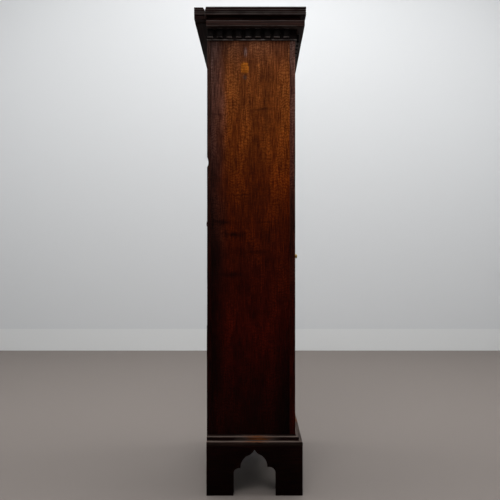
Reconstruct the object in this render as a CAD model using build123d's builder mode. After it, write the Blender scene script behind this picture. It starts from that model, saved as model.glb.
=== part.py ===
from build123d import *
import os
from math import atan2, cos, degrees, pi, radians, sin, sqrt

# A small longcase clock: a straight oak case with a dentil cornice on a bracket plinth, two
# doors, a square brass dial and a spring-driven timepiece movement with a short pendulum.
# Millimetres, +Z up. The front faces -Y, the left side faces -X. The origin is on the floor,
# under the middle of the cornice.

os.makedirs("parts", exist_ok=True)

# ---------------------------------------------------------------- case sizes
case_width = 400.0
case_depth = 257.0
total_height = 1400.0
cornice_overhang = 29.0
cornice_back_overhang = 34.0
cornice_height = 23.0
top_board_thickness = 13.0
corona_height = 17.0
corona_overhang = 25.5
cove_depth = 13.5
dentil_strip_height = 31.0
dentil_strip_thickness = 4.0
dentil_height = 26.0
dentil_stand = 9.0
dentil_width = 17.0
dentil_pitch = 27.5
dentil_corner_gap = 18.0
side_thickness = 18.0
back_thickness = 12.0
frame_thickness = 16.0
bottom_thickness = 16.0

# ---------------------------------------------------------------- plinth sizes
plinth_height = 142.0
plinth_projection = 20.0
base_moulding_height = 28.0
foot_width = 78.0
opening_bridge = 10.0
lobe_width = 22.0
shoulder_width = 20.0
side_opening_lean = 2.0
side_opening_droop = 3.0
front_opening_flat = 44.0
inner_block_lift = 4.0
case_seat_depth = 8.0
inner_block_size = 34.0
back_rail_thickness = 18.0
back_rail_height = 70.0

# ---------------------------------------------------------------- front frame and doors
stile_width = 40.0
rail_width = 40.0
bottom_rail_in_sight = 20.0
dial_door_height = 318.0
trunk_door_height = 613.0
base_panel_height = 100.0
door_gap = 1.0
tenon_length = 26.0
tenon_thickness = 6.0
peg_radius = 3.0
peg_stand = 0.8
dial_door_member = 30.0
trunk_door_member = 62.0
door_tenon_length = 20.0
glass_thickness = 3.0
rebate_width = 6.0
rebate_depth = 9.0
glass_clearance = 0.5
panel_thickness = 12.0
panel_tongue = 6.0
panel_tongue_depth = 8.0
panel_bevel = 22.0
joint_clearance = 0.1
lenticle_radius = 44.0
bezel_width = 8.0
bezel_lap = 4.0
bezel_stand = 4.0
bezel_chamfer = 1.6
panel_setback = 3.0

# ---------------------------------------------------------------- hinges and catches
hinge_leaf_length = 50.0
hinge_leaf_width = 13.0
hinge_leaf_thickness = 1.2
hinge_leaf_gap = 0.2
knuckle_radius = 3.2
hinge_pin_radius = 1.4
hinge_clearance = 0.1
hinge_knuckles = 5
hinge_inset = 55.0
knob_height = 689.0
knob_radius = 6.0
knob_stand = 10.0
knob_rounding = 3.0
disc_stand = 2.6
disc_slot_width = 1.4
disc_slot_depth = 1.0
knob_from_door_edge = 20.0
spindle_radius = 2.5
spindle_clearance = 0.1
catch_length = 32.0
catch_width = 7.0
catch_thickness = 3.0
catch_gap = 0.4

# ---------------------------------------------------------------- dial and hands
dial_size = 270.0
dial_thickness = 2.0
dial_setback = 23.0
dial_foot_radius = 3.0
dial_foot_spread = 40.0
dial_foot_drops = (12.0, 24.0)
winding_hole_radius = 6.0
spandrel_thickness = 1.8
spandrel_from_centre = 148.0
spandrel_eye_radius = 4.5
chapter_outer_radius = 121.0
chapter_inner_radius = 90.0
chapter_thickness = 1.6
minute_hand_length = 108.0
hour_hand_length = 74.0
hand_thickness = 1.2
hour_hand_stand = 4.4
minute_hand_stand = 7.4
arbor_nose_stand = 9.6
minute_at_rest = 60.0
hour_at_rest = 305.0

# ---------------------------------------------------------------- movement
plate_thickness = 3.0
plate_gap = 57.0
plate_width = 108.0
escape_above_centre = 38.0
barrel_below_centre = 60.0
motion_work_angle = 40.0
escape_span_angle = 45.0
plate_above_pallets = 14.0
plate_below_barrel = 42.0
motion_work_depth = 18.0
pillar_radius = 4.5
pillar_inset = 10.0
pivot_radius = 1.2
pivot_clearance = 0.05
arbor_radius = 1.6
arbor_end_play = 0.5
wheel_thickness = 2.0
pinion_length = 7.0
seatboard_thickness = 18.0
seatboard_depth = 89.0
seatboard_gap = 3.0
bearer_size = 24.0
barrel_radius = 29.0
drum_level = 4.0
centre_wheel_level = 8.0
great_wheel_from_back = 19.0
inter_wheel_from_back = 11.0
third_wheel_from_back = 27.0
escape_wheel_from_back = 17.0
great_wheel_thickness = 2.5
escape_teeth = 30
escape_radius = 16.0
pallet_clearance = 1.3
pendulum_length = 559.0
pendulum_rod_radius = 2.5
bob_radius = 45.0
bob_thickness = 22.0
crutch_length = 62.0
crutch_gap = 3.0
crutch_thickness = 2.0
fork_wall = 3.0
cock_gap = 12.0
cock_thickness = 3.0
pendulum_gap = 27.0
spring_thickness = 0.6
spring_half_width = 4.0
rod_tail = 34.0
nut_height = 9.0
nut_radius = 8.0

# tooth counts and modules of each mesh: great wheel to intermediate pinion, and so on
great_teeth, great_pinion, great_module = 84, 12, 0.8
inter_teeth, inter_pinion, inter_module = 72, 8, 0.7
centre_teeth, centre_pinion, centre_module = 80, 8, 0.6
third_teeth, third_pinion, third_module = 64, 8, 0.6
cannon_teeth, minute_teeth, cannon_module = 12, 36, 1.0
minute_pinion, hour_teeth, hour_module = 12, 48, 0.8

# ---------------------------------------------------------------- places worked out from the sizes
half_width = case_width / 2
cornice_depth = case_depth + cornice_overhang + cornice_back_overhang
front_y = -cornice_depth / 2 + cornice_overhang
back_y = front_y + case_depth
frame_back_y = front_y + frame_thickness
board_back_y = back_y - back_thickness
cornice_bottom = total_height - cornice_height
case_top = cornice_bottom - top_board_thickness
case_bottom = plinth_height - case_seat_depth
inner_half_width = half_width - side_thickness
door_half_width = half_width - stile_width - door_gap
opening_half_width = half_width - stile_width
plinth_front_y = front_y - plinth_projection
plinth_half_width = half_width + plinth_projection

frame_bottom = plinth_height + base_moulding_height
bottom_rail_top = frame_bottom + bottom_rail_in_sight
base_panel_top = bottom_rail_top + base_panel_height
waist_rail_top = base_panel_top + rail_width
trunk_opening_top = waist_rail_top + trunk_door_height + 2 * door_gap
dial_rail_top = trunk_opening_top + rail_width
dial_opening_top = dial_rail_top + dial_door_height + 2 * door_gap
dial_centre_z = (dial_rail_top + dial_opening_top) / 2
corona_bottom = cornice_bottom - cove_depth - corona_height
strip_bottom = corona_bottom - dentil_strip_height


# ---------------------------------------------------------------- shared helpers
def keep(builder, name):
    """Labels a finished piece and writes it."""
    builder.part.label = name
    export_step(builder.part, f"parts/{name}.step")


def block(x, y, z, mode=Mode.ADD):
    """A box between two values on each axis, in the part being built."""
    with Locations(((x[0] + x[1]) / 2, (y[0] + y[1]) / 2, (z[0] + z[1]) / 2)):
        Box(x[1] - x[0], y[1] - y[0], z[1] - z[0], mode=mode)


def rod(x, z, y, radius, mode=Mode.ADD):
    """A round bar along Y, in the part being built."""
    with BuildSketch(Plane.XZ.offset(-y[1])) as section:
        with Locations((x, z)):
            Circle(radius)
    extrude(section.sketch, amount=y[1] - y[0], mode=mode)


def post(x, y, z, radius, mode=Mode.ADD):
    """A round bar along Z, in the part being built."""
    with BuildSketch(Plane.XY.offset(z[0])) as section:
        with Locations((x, y)):
            Circle(radius)
    extrude(section.sketch, amount=z[1] - z[0], mode=mode)


def front_mitre(side):
    """The upright 45 degree plane of a front corner; its positive side holds the side run."""
    return Plane(origin=(side * half_width, front_y, 0), z_dir=(side, 1, 0))


def run_plane(facing, reach):
    """The sketch plane of a moulding run: x points out of the case, y points up."""
    out = {"left": (-1, 0, 0), "front": (0, -1, 0), "back": (0, 1, 0)}[facing]
    along = {"left": (0, 1, 0), "front": (-1, 0, 0), "back": (1, 0, 0)}[facing]
    origin = {
        "left": (-half_width, front_y - reach, 0),
        "front": (half_width + reach, front_y, 0),
        "back": (-half_width - reach, back_y, 0),
    }[facing]
    return Plane(origin=origin, x_dir=out, z_dir=along)


# ---------------------------------------------------------------- side, back, bottom and top boards
side_y = (frame_back_y, board_back_y)
with BuildPart() as left_side_board:
    block((-half_width, -inner_half_width), side_y, (case_bottom, case_top))
keep(left_side_board, "left_side_board")

with BuildPart() as right_side_board:
    block((inner_half_width, half_width), side_y, (case_bottom, case_top))
keep(right_side_board, "right_side_board")

back_board_count = 3
back_board_width = case_width / back_board_count
back_board_joint = 0.6
with BuildPart() as back_boards:
    for number in range(back_board_count):
        start = -half_width + number * back_board_width
        trim_left = back_board_joint / 2 if number else 0.0
        trim_right = back_board_joint / 2 if number < back_board_count - 1 else 0.0
        span = (start + trim_left, start + back_board_width - trim_right)
        block(span, (board_back_y, back_y), (case_bottom, case_top))
keep(back_boards, "back_boards")

with BuildPart() as bottom_board:
    block(
        (-inner_half_width, inner_half_width),
        (frame_back_y, board_back_y),
        (case_bottom, case_bottom + bottom_thickness),
    )
keep(bottom_board, "bottom_board")

with BuildPart() as top_board:
    block((-half_width, half_width), (front_y, back_y), (case_top, cornice_bottom))
keep(top_board, "top_board")

# ---------------------------------------------------------------- front frame: stiles, rails, panel, pegs
tenon_y = (
    (front_y + frame_back_y - tenon_thickness) / 2,
    (front_y + frame_back_y + tenon_thickness) / 2,
)
frame_rails = {
    "bottom_rail": (case_bottom, bottom_rail_top),
    "waist_rail": (base_panel_top, waist_rail_top),
    "dial_rail": (trunk_opening_top, dial_rail_top),
    "frieze_rail": (dial_opening_top, case_top),
}
tenon_shoulder = 5.0
peg_from_joint = 13.0


def peg_heights(z):
    """One peg in a narrow rail's joint, two in a wide one's."""
    middle = (z[0] + z[1]) / 2
    if z[1] - z[0] <= rail_width:
        return [middle]
    quarter = (z[1] - z[0]) / 4
    return [middle - quarter, middle + quarter]


peg_places = [
    (side * (opening_half_width + peg_from_joint), height)
    for z in frame_rails.values()
    for height in peg_heights(z)
    for side in (-1, 1)
]


def frame_peg_holes():
    """Cuts every peg hole that the piece being built reaches."""
    for x, z in peg_places:
        rod(x, z, (front_y - 1, frame_back_y + 1), peg_radius, mode=Mode.SUBTRACT)


panel_y = (front_y + panel_setback, front_y + panel_setback + panel_thickness)
tongue_y = (panel_y[1] - panel_tongue, panel_y[1])


def fielded_panel(x, z):
    """A raised and fielded panel: a thin tongue all round and a bevelled raised field."""
    block(
        (x[0] - panel_tongue_depth, x[1] + panel_tongue_depth),
        tongue_y,
        (z[0] - panel_tongue_depth, z[1] + panel_tongue_depth),
    )
    width, height = x[1] - x[0], z[1] - z[0]
    field_height = panel_thickness - panel_tongue
    slope = degrees(atan2(panel_bevel, field_height))
    with BuildSketch(Plane.XZ.offset(-tongue_y[0])) as field:
        with Locations(((x[0] + x[1]) / 2, (z[0] + z[1]) / 2)):
            Rectangle(width, height)
    extrude(field.sketch, amount=field_height, taper=slope)


base_panel_x = (-opening_half_width, opening_half_width)
base_panel_z = (bottom_rail_top, base_panel_top)


def base_panel_groove():
    """Cuts the groove that the base panel's tongue sits in."""
    block(
        (base_panel_x[0] - panel_tongue_depth, base_panel_x[1] + panel_tongue_depth),
        tongue_y,
        (base_panel_z[0] - panel_tongue_depth, base_panel_z[1] + panel_tongue_depth),
        mode=Mode.SUBTRACT,
    )


hinge_x = opening_half_width - door_gap / 2
hinge_y = front_y - knuckle_radius - hinge_clearance
leaf_rebate = hinge_leaf_thickness - (door_gap - hinge_leaf_gap) / 2
trunk_door_z = (waist_rail_top + door_gap, trunk_opening_top - door_gap)
dial_door_z = (dial_rail_top + door_gap, dial_opening_top - door_gap)
hinge_heights = {
    "trunk": (trunk_door_z[0] + hinge_inset, trunk_door_z[1] - hinge_inset),
    "dial": (dial_door_z[0] + hinge_inset, dial_door_z[1] - hinge_inset),
}
leaf_y = (hinge_y, hinge_y + hinge_leaf_width)


def leaf_rebates(side_x, doors):
    """Cuts the rebates that hinge leaves lie in, where side_x is the span of wood they take."""
    for door in doors:
        for height in hinge_heights[door]:
            half = hinge_leaf_length / 2
            block(side_x, (leaf_y[0] - 1, leaf_y[1]), (height - half, height + half), Mode.SUBTRACT)


def front_stile(side):
    """One long upright of the front frame, with its mortises."""
    inner, outer = sorted((side * opening_half_width, side * half_width))
    block((inner, outer), (front_y, frame_back_y), (case_bottom, case_top))
    joint = side * opening_half_width
    for z in frame_rails.values():
        mortise = sorted((joint, joint + side * tenon_length))
        block(mortise, tenon_y, (z[0] + tenon_shoulder, z[1] - tenon_shoulder), Mode.SUBTRACT)


with BuildPart() as front_stiles:
    for side in (-1, 1):
        front_stile(side)
    frame_peg_holes()
    base_panel_groove()
    leaf_rebates((opening_half_width, opening_half_width + leaf_rebate), ("trunk", "dial"))
keep(front_stiles, "front_stiles")

with BuildPart() as front_rails:
    for z in frame_rails.values():
        block((-opening_half_width, opening_half_width), (front_y, frame_back_y), z)
        reach = opening_half_width + tenon_length
        block((-reach, reach), tenon_y, (z[0] + tenon_shoulder, z[1] - tenon_shoulder))
    frame_peg_holes()
    base_panel_groove()
keep(front_rails, "front_rails")

with BuildPart() as base_panel:
    fielded_panel(base_panel_x, base_panel_z)
    for z in (frame_rails["bottom_rail"], frame_rails["waist_rail"]):
        reach = opening_half_width + tenon_length
        block((-reach, reach), tenon_y, (z[0] + tenon_shoulder, z[1] - tenon_shoulder), Mode.SUBTRACT)
keep(base_panel, "base_panel")

with BuildPart() as frame_pegs:
    for x, z in peg_places:
        in_sight = frame_bottom < z < strip_bottom
        rod(x, z, (front_y - (peg_stand if in_sight else 0.0), frame_back_y), peg_radius)
keep(frame_pegs, "frame_pegs")


# ---------------------------------------------------------------- plinth boards with bracket openings
def bracket_opening(half_span, flat=0.0, lean=0.0, droop=0.0):
    """The shaped opening between two bracket feet, as a face with its middle on the floor:
    upright sides, a round lobe each side, a cusp, a shoulder and a pointed middle. One side
    can lean and droop a little, as hand-sawn ones do."""
    rise = plinth_height - opening_bridge
    side_top = 0.47 * rise
    cusp_top = 0.62 * rise
    shoulder_top = 0.885 * rise
    with BuildLine() as outline:
        Polyline((-half_span, side_top - droop), (-half_span, -1), (half_span, -1), (half_span, side_top))
        for side, low in ((1, 0.0), (-1, droop)):
            lobe_reach = lobe_width + side * lean
            cusp = (side * (half_span - lobe_reach), cusp_top - low)
            shoulder = (cusp[0] - side * shoulder_width, shoulder_top - low)
            lobe = (side * (half_span - 0.27 * lobe_reach), cusp_top - 4 - low)
            bulge = (cusp[0] - side * 4.5, cusp[1] + 0.57 * (shoulder[1] - cusp[1]))
            ThreePointArc((side * half_span, side_top - low), lobe, cusp)
            ThreePointArc(cusp, bulge, shoulder)
            point_foot = shoulder
            if flat:
                point_foot = (side * flat / 2, shoulder[1])
                Line(shoulder, point_foot)
            hollow = (point_foot[0] / 2, point_foot[1] + 0.3 * (rise - point_foot[1]))
            ThreePointArc(point_foot, hollow, (0, rise))
    make_face(outline.line)


side_opening_half = (case_depth + plinth_projection - 2 * foot_width) / 2
side_opening_middle = (plinth_front_y + back_y) / 2
with BuildPart() as plinth_left:
    with BuildSketch(Plane.XY):
        with BuildLine():
            Polyline(
                (-half_width, front_y),
                (-plinth_half_width, plinth_front_y),
                (-plinth_half_width, back_y),
                (-half_width, back_y),
                close=True,
            )
        make_face()
    extrude(amount=plinth_height)
    opening_plane = Plane(origin=(-half_width, side_opening_middle, 0), x_dir=(0, -1, 0), z_dir=(-1, 0, 0))
    with BuildSketch(opening_plane):
        bracket_opening(side_opening_half, lean=side_opening_lean, droop=side_opening_droop)
    extrude(amount=plinth_projection, mode=Mode.SUBTRACT)
with BuildPart() as plinth_sides:
    add(plinth_left.part)
    add(plinth_left.part.mirror(Plane.YZ))
keep(plinth_sides, "plinth_sides")

front_opening_half = plinth_half_width - foot_width
with BuildPart() as plinth_front:
    with BuildSketch(Plane.XY):
        with BuildLine():
            Polyline(
                (-half_width, front_y),
                (-plinth_half_width, plinth_front_y),
                (plinth_half_width, plinth_front_y),
                (half_width, front_y),
                close=True,
            )
        make_face()
    extrude(amount=plinth_height)
    with BuildSketch(Plane.XZ.offset(-front_y)):
        bracket_opening(front_opening_half, flat=front_opening_flat)
    extrude(amount=plinth_projection, mode=Mode.SUBTRACT)
keep(plinth_front, "plinth_front")

blocks_top = case_bottom
glue_joint = 0.3
rail_y = (back_y - back_rail_thickness, back_y)
with BuildPart() as plinth_inner_blocks:
    for side in (-1, 1):
        outer = side * half_width
        inner = side * (half_width - inner_block_size)
        span = sorted((outer, inner))
        block(span, (front_y, front_y + inner_block_size), (inner_block_lift, blocks_top))
        block(span, (back_y - inner_block_size, rail_y[0] - glue_joint), (inner_block_lift, blocks_top))
    block((-half_width, half_width), rail_y, (blocks_top - back_rail_height, blocks_top))
keep(plinth_inner_blocks, "plinth_inner_blocks")


# ---------------------------------------------------------------- base moulding, mitred round three sides
def base_moulding_profile():
    """Outwards and up from the plinth's top: a rounded lower step, a cove and a small nosing."""
    reach = plinth_projection
    bottom, top = plinth_height, plinth_height + base_moulding_height
    step = 0.46 * base_moulding_height
    nose = 10.0
    with BuildLine() as outline:
        Polyline((0, top), (0, bottom), (reach, bottom), (reach, bottom + step - 4))
        ThreePointArc(
            (reach, bottom + step - 4), (reach - 1.2, bottom + step - 1.2), (reach - 4, bottom + step)
        )
        Line((reach - 4, bottom + step), (nose + 1.5, bottom + step))
        ThreePointArc(
            (nose + 1.5, bottom + step), (nose - 1.0, bottom + step + 2.2), (nose, bottom + step + 7)
        )
        ThreePointArc(
            (nose, bottom + step + 7), (nose - 1.0, bottom + step + 9.2), (nose - 3.5, bottom + step + 10)
        )
        Line((nose - 3.5, bottom + step + 10), (0, top))
    make_face(outline.line)


def mitred_front(profile, reach):
    """The front run of a moulding, mitred at both ends."""
    with BuildSketch(run_plane("front", reach)) as section:
        profile()
    extrude(section.sketch, amount=case_width + 2 * reach)
    split(bisect_by=front_mitre(-1), keep=Keep.BOTTOM)
    split(bisect_by=front_mitre(1), keep=Keep.BOTTOM)


def mitred_side(profile, reach, length):
    """The left run of a moulding, mitred at the front and square at the back."""
    with BuildSketch(run_plane("left", reach)) as section:
        profile()
    extrude(section.sketch, amount=reach + length)
    split(bisect_by=front_mitre(-1), keep=Keep.TOP)


with BuildPart() as moulding_front:
    mitred_front(base_moulding_profile, plinth_projection)
with BuildPart() as moulding_left:
    mitred_side(base_moulding_profile, plinth_projection + 1.0, case_depth)
with BuildPart() as base_moulding:
    add(moulding_front.part)
    add(moulding_left.part)
    add(moulding_left.part.mirror(Plane.YZ))
keep(base_moulding, "base_moulding")

# ---------------------------------------------------------------- cornice: reeded top frame of five pieces
frame_reach_in = 40.0
reed_radius = 2.9
reed_depth = 2.2
corner_block_length = 30.0


def reeded_profile(overhang):
    """The top member's section: a flat board whose outer edge has two reeds between fillets."""
    low, high = cornice_bottom, total_height
    face = overhang - reed_depth
    reeds_start = low + 4.0
    with BuildLine() as outline:
        Polyline((-frame_reach_in, low), (overhang, low), (overhang, reeds_start), (face, reeds_start))
        for number in range(2):
            start = reeds_start + number * (2 * reed_radius + 0.6)
            ThreePointArc((face, start), (overhang, start + reed_radius), (face, start + 2 * reed_radius))
            if number == 0:
                Line((face, start + 2 * reed_radius), (face, start + 2 * reed_radius + 0.6))
        end = reeds_start + 4 * reed_radius + 0.6
        Polyline(
            (face, end), (overhang, end), (overhang, high), (-frame_reach_in, high), (-frame_reach_in, low)
        )
    make_face(outline.line)


def front_back_mitre(corner_x, back):
    """The plane from the case's corner to the cornice's corner, where overhangs may differ."""
    corner_y = back_y if back else front_y
    overhang_y = cornice_back_overhang if back else -cornice_overhang
    across = -1 if corner_x < 0 else 1
    step = (across * cornice_overhang, overhang_y)
    inward = 1 if not back else -1
    normal = (across * abs(step[1]), inward * abs(step[0]), 0)
    return Plane(origin=(corner_x, corner_y, 0), z_dir=normal)


block_y = back_y + cornice_back_overhang - corner_block_length
block_x = -half_width - cornice_overhang + 24.0
block_joint = 0.8
with BuildPart() as cornice_front:
    with BuildSketch(run_plane("front", cornice_overhang)):
        reeded_profile(cornice_overhang)
    extrude(amount=case_width + 2 * cornice_overhang)
    split(bisect_by=front_back_mitre(-half_width, False), keep=Keep.BOTTOM)
    split(bisect_by=front_back_mitre(half_width, False), keep=Keep.BOTTOM)
keep(cornice_front, "cornice_front")

side_run = cornice_overhang + case_depth + cornice_back_overhang
with BuildPart() as cornice_side:
    with BuildSketch(run_plane("left", cornice_overhang)):
        reeded_profile(cornice_overhang)
    extrude(amount=side_run)
    split(bisect_by=front_back_mitre(-half_width, False), keep=Keep.TOP)
    split(bisect_by=front_back_mitre(-half_width, True), keep=Keep.TOP)
with BuildPart() as cornice_right:
    add(cornice_side.part.mirror(Plane.YZ))
keep(cornice_right, "cornice_right")
corner_cell_x = (-half_width - cornice_overhang - 1, block_x)
corner_cell_y = (block_y, back_y + cornice_back_overhang + 1)
corner_cell_z = (case_top - 1, total_height + 1)
with BuildPart() as cornice_left:
    add(cornice_side.part)
    block(
        (corner_cell_x[0], block_x + block_joint),
        (block_y - block_joint, corner_cell_y[1]),
        corner_cell_z,
        Mode.SUBTRACT,
    )
keep(cornice_left, "cornice_left")

with BuildPart() as back_run:
    with BuildSketch(run_plane("back", cornice_overhang)):
        reeded_profile(cornice_back_overhang)
    extrude(amount=case_width + 2 * cornice_overhang)
    split(bisect_by=front_back_mitre(-half_width, True), keep=Keep.BOTTOM)
    split(bisect_by=front_back_mitre(half_width, True), keep=Keep.BOTTOM)
with BuildPart() as cornice_back:
    add(back_run.part)
    block(
        (-half_width - cornice_overhang, half_width + cornice_overhang),
        (back_y, back_y + cornice_back_overhang),
        (case_top, cornice_bottom),
    )
    block(
        (corner_cell_x[0], block_x + block_joint),
        (block_y - block_joint, corner_cell_y[1]),
        corner_cell_z,
        Mode.SUBTRACT,
    )
keep(cornice_back, "cornice_back")

with BuildPart() as cornice_corner_block:
    with BuildSketch(Plane(origin=(-half_width, block_y, 0), x_dir=(-1, 0, 0), z_dir=(0, 1, 0))):
        reeded_profile(cornice_overhang)
    extrude(amount=corner_block_length)
    block(
        (-half_width - cornice_overhang + reed_depth, block_x),
        (block_y, block_y + corner_block_length),
        (case_top + 1.5, cornice_bottom),
    )
    block(
        (block_x, -half_width + frame_reach_in + 1),
        (block_y - 1, corner_cell_y[1]),
        corner_cell_z,
        Mode.SUBTRACT,
    )
keep(cornice_corner_block, "cornice_corner_block")


# ---------------------------------------------------------------- corona under the cornice, three sides
def corona_profile():
    """A plain fascia with a hollow above it that runs in under the reeded member."""
    fascia_top = corona_bottom + corona_height
    with BuildLine() as outline:
        Polyline(
            (0, cornice_bottom),
            (0, corona_bottom),
            (corona_overhang, corona_bottom),
            (corona_overhang, fascia_top),
        )
        ThreePointArc(
            (corona_overhang, fascia_top),
            (corona_overhang - 9.0, fascia_top + 3.0),
            (corona_overhang - 12.0, cornice_bottom),
        )
        Line((corona_overhang - 12.0, cornice_bottom), (0, cornice_bottom))
    make_face(outline.line)


with BuildPart() as corona_front:
    mitred_front(corona_profile, corona_overhang)
with BuildPart() as corona_left:
    mitred_side(corona_profile, corona_overhang, case_depth)
with BuildPart() as corona_moulding:
    add(corona_front.part)
    add(corona_left.part)
    add(corona_left.part.mirror(Plane.YZ))
keep(corona_moulding, "corona_moulding")

# ---------------------------------------------------------------- dentil strips, three sides


def strip_profile():
    """The thin backing strip that the dentils stand on."""
    with BuildLine() as outline:
        Polyline(
            (0, corona_bottom),
            (0, strip_bottom),
            (dentil_strip_thickness, strip_bottom),
            (dentil_strip_thickness, corona_bottom),
            close=True,
        )
    make_face(outline.line)


dentil_z = (corona_bottom - dentil_height, corona_bottom)
front_dentils = int((case_width - 2 * dentil_corner_gap + dentil_pitch - dentil_width) // dentil_pitch)
side_dentils = int((case_depth - dentil_corner_gap) // dentil_pitch) + 1
with BuildPart() as strip_front:
    mitred_front(strip_profile, dentil_strip_thickness)
    for number in range(front_dentils):
        middle = (number - (front_dentils - 1) / 2) * dentil_pitch
        block(
            (middle - dentil_width / 2, middle + dentil_width / 2),
            (front_y - dentil_strip_thickness - dentil_stand, front_y - dentil_strip_thickness),
            dentil_z,
        )
with BuildPart() as strip_left:
    mitred_side(strip_profile, dentil_strip_thickness, case_depth)
    outer = -half_width - dentil_strip_thickness
    for number in range(side_dentils):
        start = front_y + dentil_corner_gap + number * dentil_pitch
        end = min(start + dentil_width, back_y)
        if end - start > 3.0:
            block((outer - dentil_stand, outer), (start, end), dentil_z)
with BuildPart() as dentil_strips:
    add(strip_front.part)
    add(strip_left.part)
    add(strip_left.part.mirror(Plane.YZ))
keep(dentil_strips, "dentil_strips")


# ---------------------------------------------------------------- doors: stiles and rails
door_y = (front_y, frame_back_y)
door_tenon_y = (front_y + 5.0, front_y + 9.0)


def door_stiles(z, member):
    """Both uprights of a door, with mortises for its rails."""
    for side in (-1, 1):
        inner = door_half_width - member
        block(sorted((side * inner, side * door_half_width)), door_y, z)
        mortise = sorted((side * (inner - 1), side * (inner + door_tenon_length)))
        for low in (z[0], z[1] - member):
            block(
                mortise,
                (door_tenon_y[0] - joint_clearance, door_tenon_y[1] + joint_clearance),
                (low + tenon_shoulder - joint_clearance, low + member - tenon_shoulder + joint_clearance),
                Mode.SUBTRACT,
            )


def door_rails(z, member):
    """The top and bottom rails of a door, with their tenons."""
    inner = door_half_width - member
    reach = inner + door_tenon_length - joint_clearance
    for low in (z[0], z[1] - member):
        block((-inner, inner), door_y, (low, low + member))
        block((-reach, reach), door_tenon_y, (low + tenon_shoulder, low + member - tenon_shoulder))


def sight(z, member, grow, y, mode=Mode.ADD):
    """A block that fills a door's opening, made larger or smaller all round."""
    half = door_half_width - member + grow
    block((-half, half), y, (z[0] + member - grow, z[1] - member + grow), mode)


trunk_knob_x = -(door_half_width - knob_from_door_edge)
dial_knob_x = -(door_half_width - dial_door_member / 2)
door_rebate_x = (door_half_width - leaf_rebate, door_half_width)

with BuildPart() as trunk_door_stiles:
    door_stiles(trunk_door_z, trunk_door_member)
    sight(trunk_door_z, trunk_door_member, panel_tongue_depth, tongue_y, Mode.SUBTRACT)
    leaf_rebates(door_rebate_x, ("trunk",))
    rod(trunk_knob_x, knob_height, (front_y - 1, frame_back_y + 1), spindle_radius + spindle_clearance,
        Mode.SUBTRACT)
keep(trunk_door_stiles, "trunk_door_stiles")

with BuildPart() as trunk_door_rails:
    door_rails(trunk_door_z, trunk_door_member)
    sight(trunk_door_z, trunk_door_member, panel_tongue_depth, tongue_y, Mode.SUBTRACT)
keep(trunk_door_rails, "trunk_door_rails")

glass_back_y = frame_back_y - rebate_depth + glass_thickness
dial_rebate_y = (frame_back_y - rebate_depth, frame_back_y)
with BuildPart() as dial_door_stiles:
    door_stiles(dial_door_z, dial_door_member)
    sight(dial_door_z, dial_door_member, rebate_width, dial_rebate_y, Mode.SUBTRACT)
    leaf_rebates(door_rebate_x, ("dial",))
    rod(dial_knob_x, dial_centre_z, (front_y - 1, frame_back_y + 1), spindle_radius + spindle_clearance,
        Mode.SUBTRACT)
keep(dial_door_stiles, "dial_door_stiles")

with BuildPart() as dial_door_rails:
    door_rails(dial_door_z, dial_door_member)
    sight(dial_door_z, dial_door_member, rebate_width, dial_rebate_y, Mode.SUBTRACT)
keep(dial_door_rails, "dial_door_rails")

with BuildPart() as dial_door_glass:
    sight(dial_door_z, dial_door_member, rebate_width - glass_clearance, (dial_rebate_y[0], glass_back_y))
keep(dial_door_glass, "dial_door_glass")

with BuildPart() as dial_door_beads:
    sight(dial_door_z, dial_door_member, rebate_width, (glass_back_y, frame_back_y))
    sight(dial_door_z, dial_door_member, 0.0, (glass_back_y, frame_back_y), Mode.SUBTRACT)
keep(dial_door_beads, "dial_door_beads")

# ---------------------------------------------------------------- trunk door panel and its round glass
centre_z = dial_centre_z
escape_z = centre_z + escape_above_centre
pallet_z = escape_z + escape_radius / cos(radians(escape_span_angle))
bob_z = pallet_z - pendulum_length

with BuildPart() as trunk_door_panel:
    trunk_inner = door_half_width - trunk_door_member
    panel_z = (trunk_door_z[0] + trunk_door_member, trunk_door_z[1] - trunk_door_member)
    fielded_panel((-trunk_inner, trunk_inner), panel_z)
    rod(0, bob_z, (panel_y[0] - 1, panel_y[1] + 1), lenticle_radius, Mode.SUBTRACT)
keep(trunk_door_panel, "trunk_door_panel")

with BuildPart() as lenticle_bezel:
    bezel_y = (panel_y[0] - bezel_stand, panel_y[0])
    rod(0, bob_z, bezel_y, lenticle_radius + bezel_width)
    rod(0, bob_z, bezel_y, lenticle_radius - bezel_lap, Mode.SUBTRACT)
    chamfer(lenticle_bezel.edges().filter_by(GeomType.CIRCLE).group_by(Axis.Y)[0], length=bezel_chamfer)
keep(lenticle_bezel, "lenticle_bezel")

with BuildPart() as lenticle_glass:
    rod(0, bob_z, (panel_y[0], panel_y[0] + glass_thickness), lenticle_radius)
keep(lenticle_glass, "lenticle_glass")


# ---------------------------------------------------------------- turn catches on both doors
def turn_catch(x, z, stand):
    """A knob in front, its spindle through the stile and a tongue behind it that points up."""
    rod(x, z, (front_y - stand, front_y - catch_gap), knob_radius)
    rod(x, z, (front_y - catch_gap, frame_back_y + catch_gap + catch_thickness), spindle_radius)
    tongue_y = (frame_back_y + catch_gap, frame_back_y + catch_gap + catch_thickness)
    half = catch_width / 2
    rod(x, z, tongue_y, half)
    rod(x, z + catch_length - half, tongue_y, half)
    block((x - half, x + half), tongue_y, (z, z + catch_length - half))


with BuildPart() as trunk_door_catch:
    turn_catch(trunk_knob_x, knob_height, knob_stand)
    knob_rim = trunk_door_catch.edges().filter_by(GeomType.CIRCLE).group_by(Axis.Y)[0]
    fillet(knob_rim, radius=knob_rounding)
keep(trunk_door_catch, "trunk_door_catch")

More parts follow.
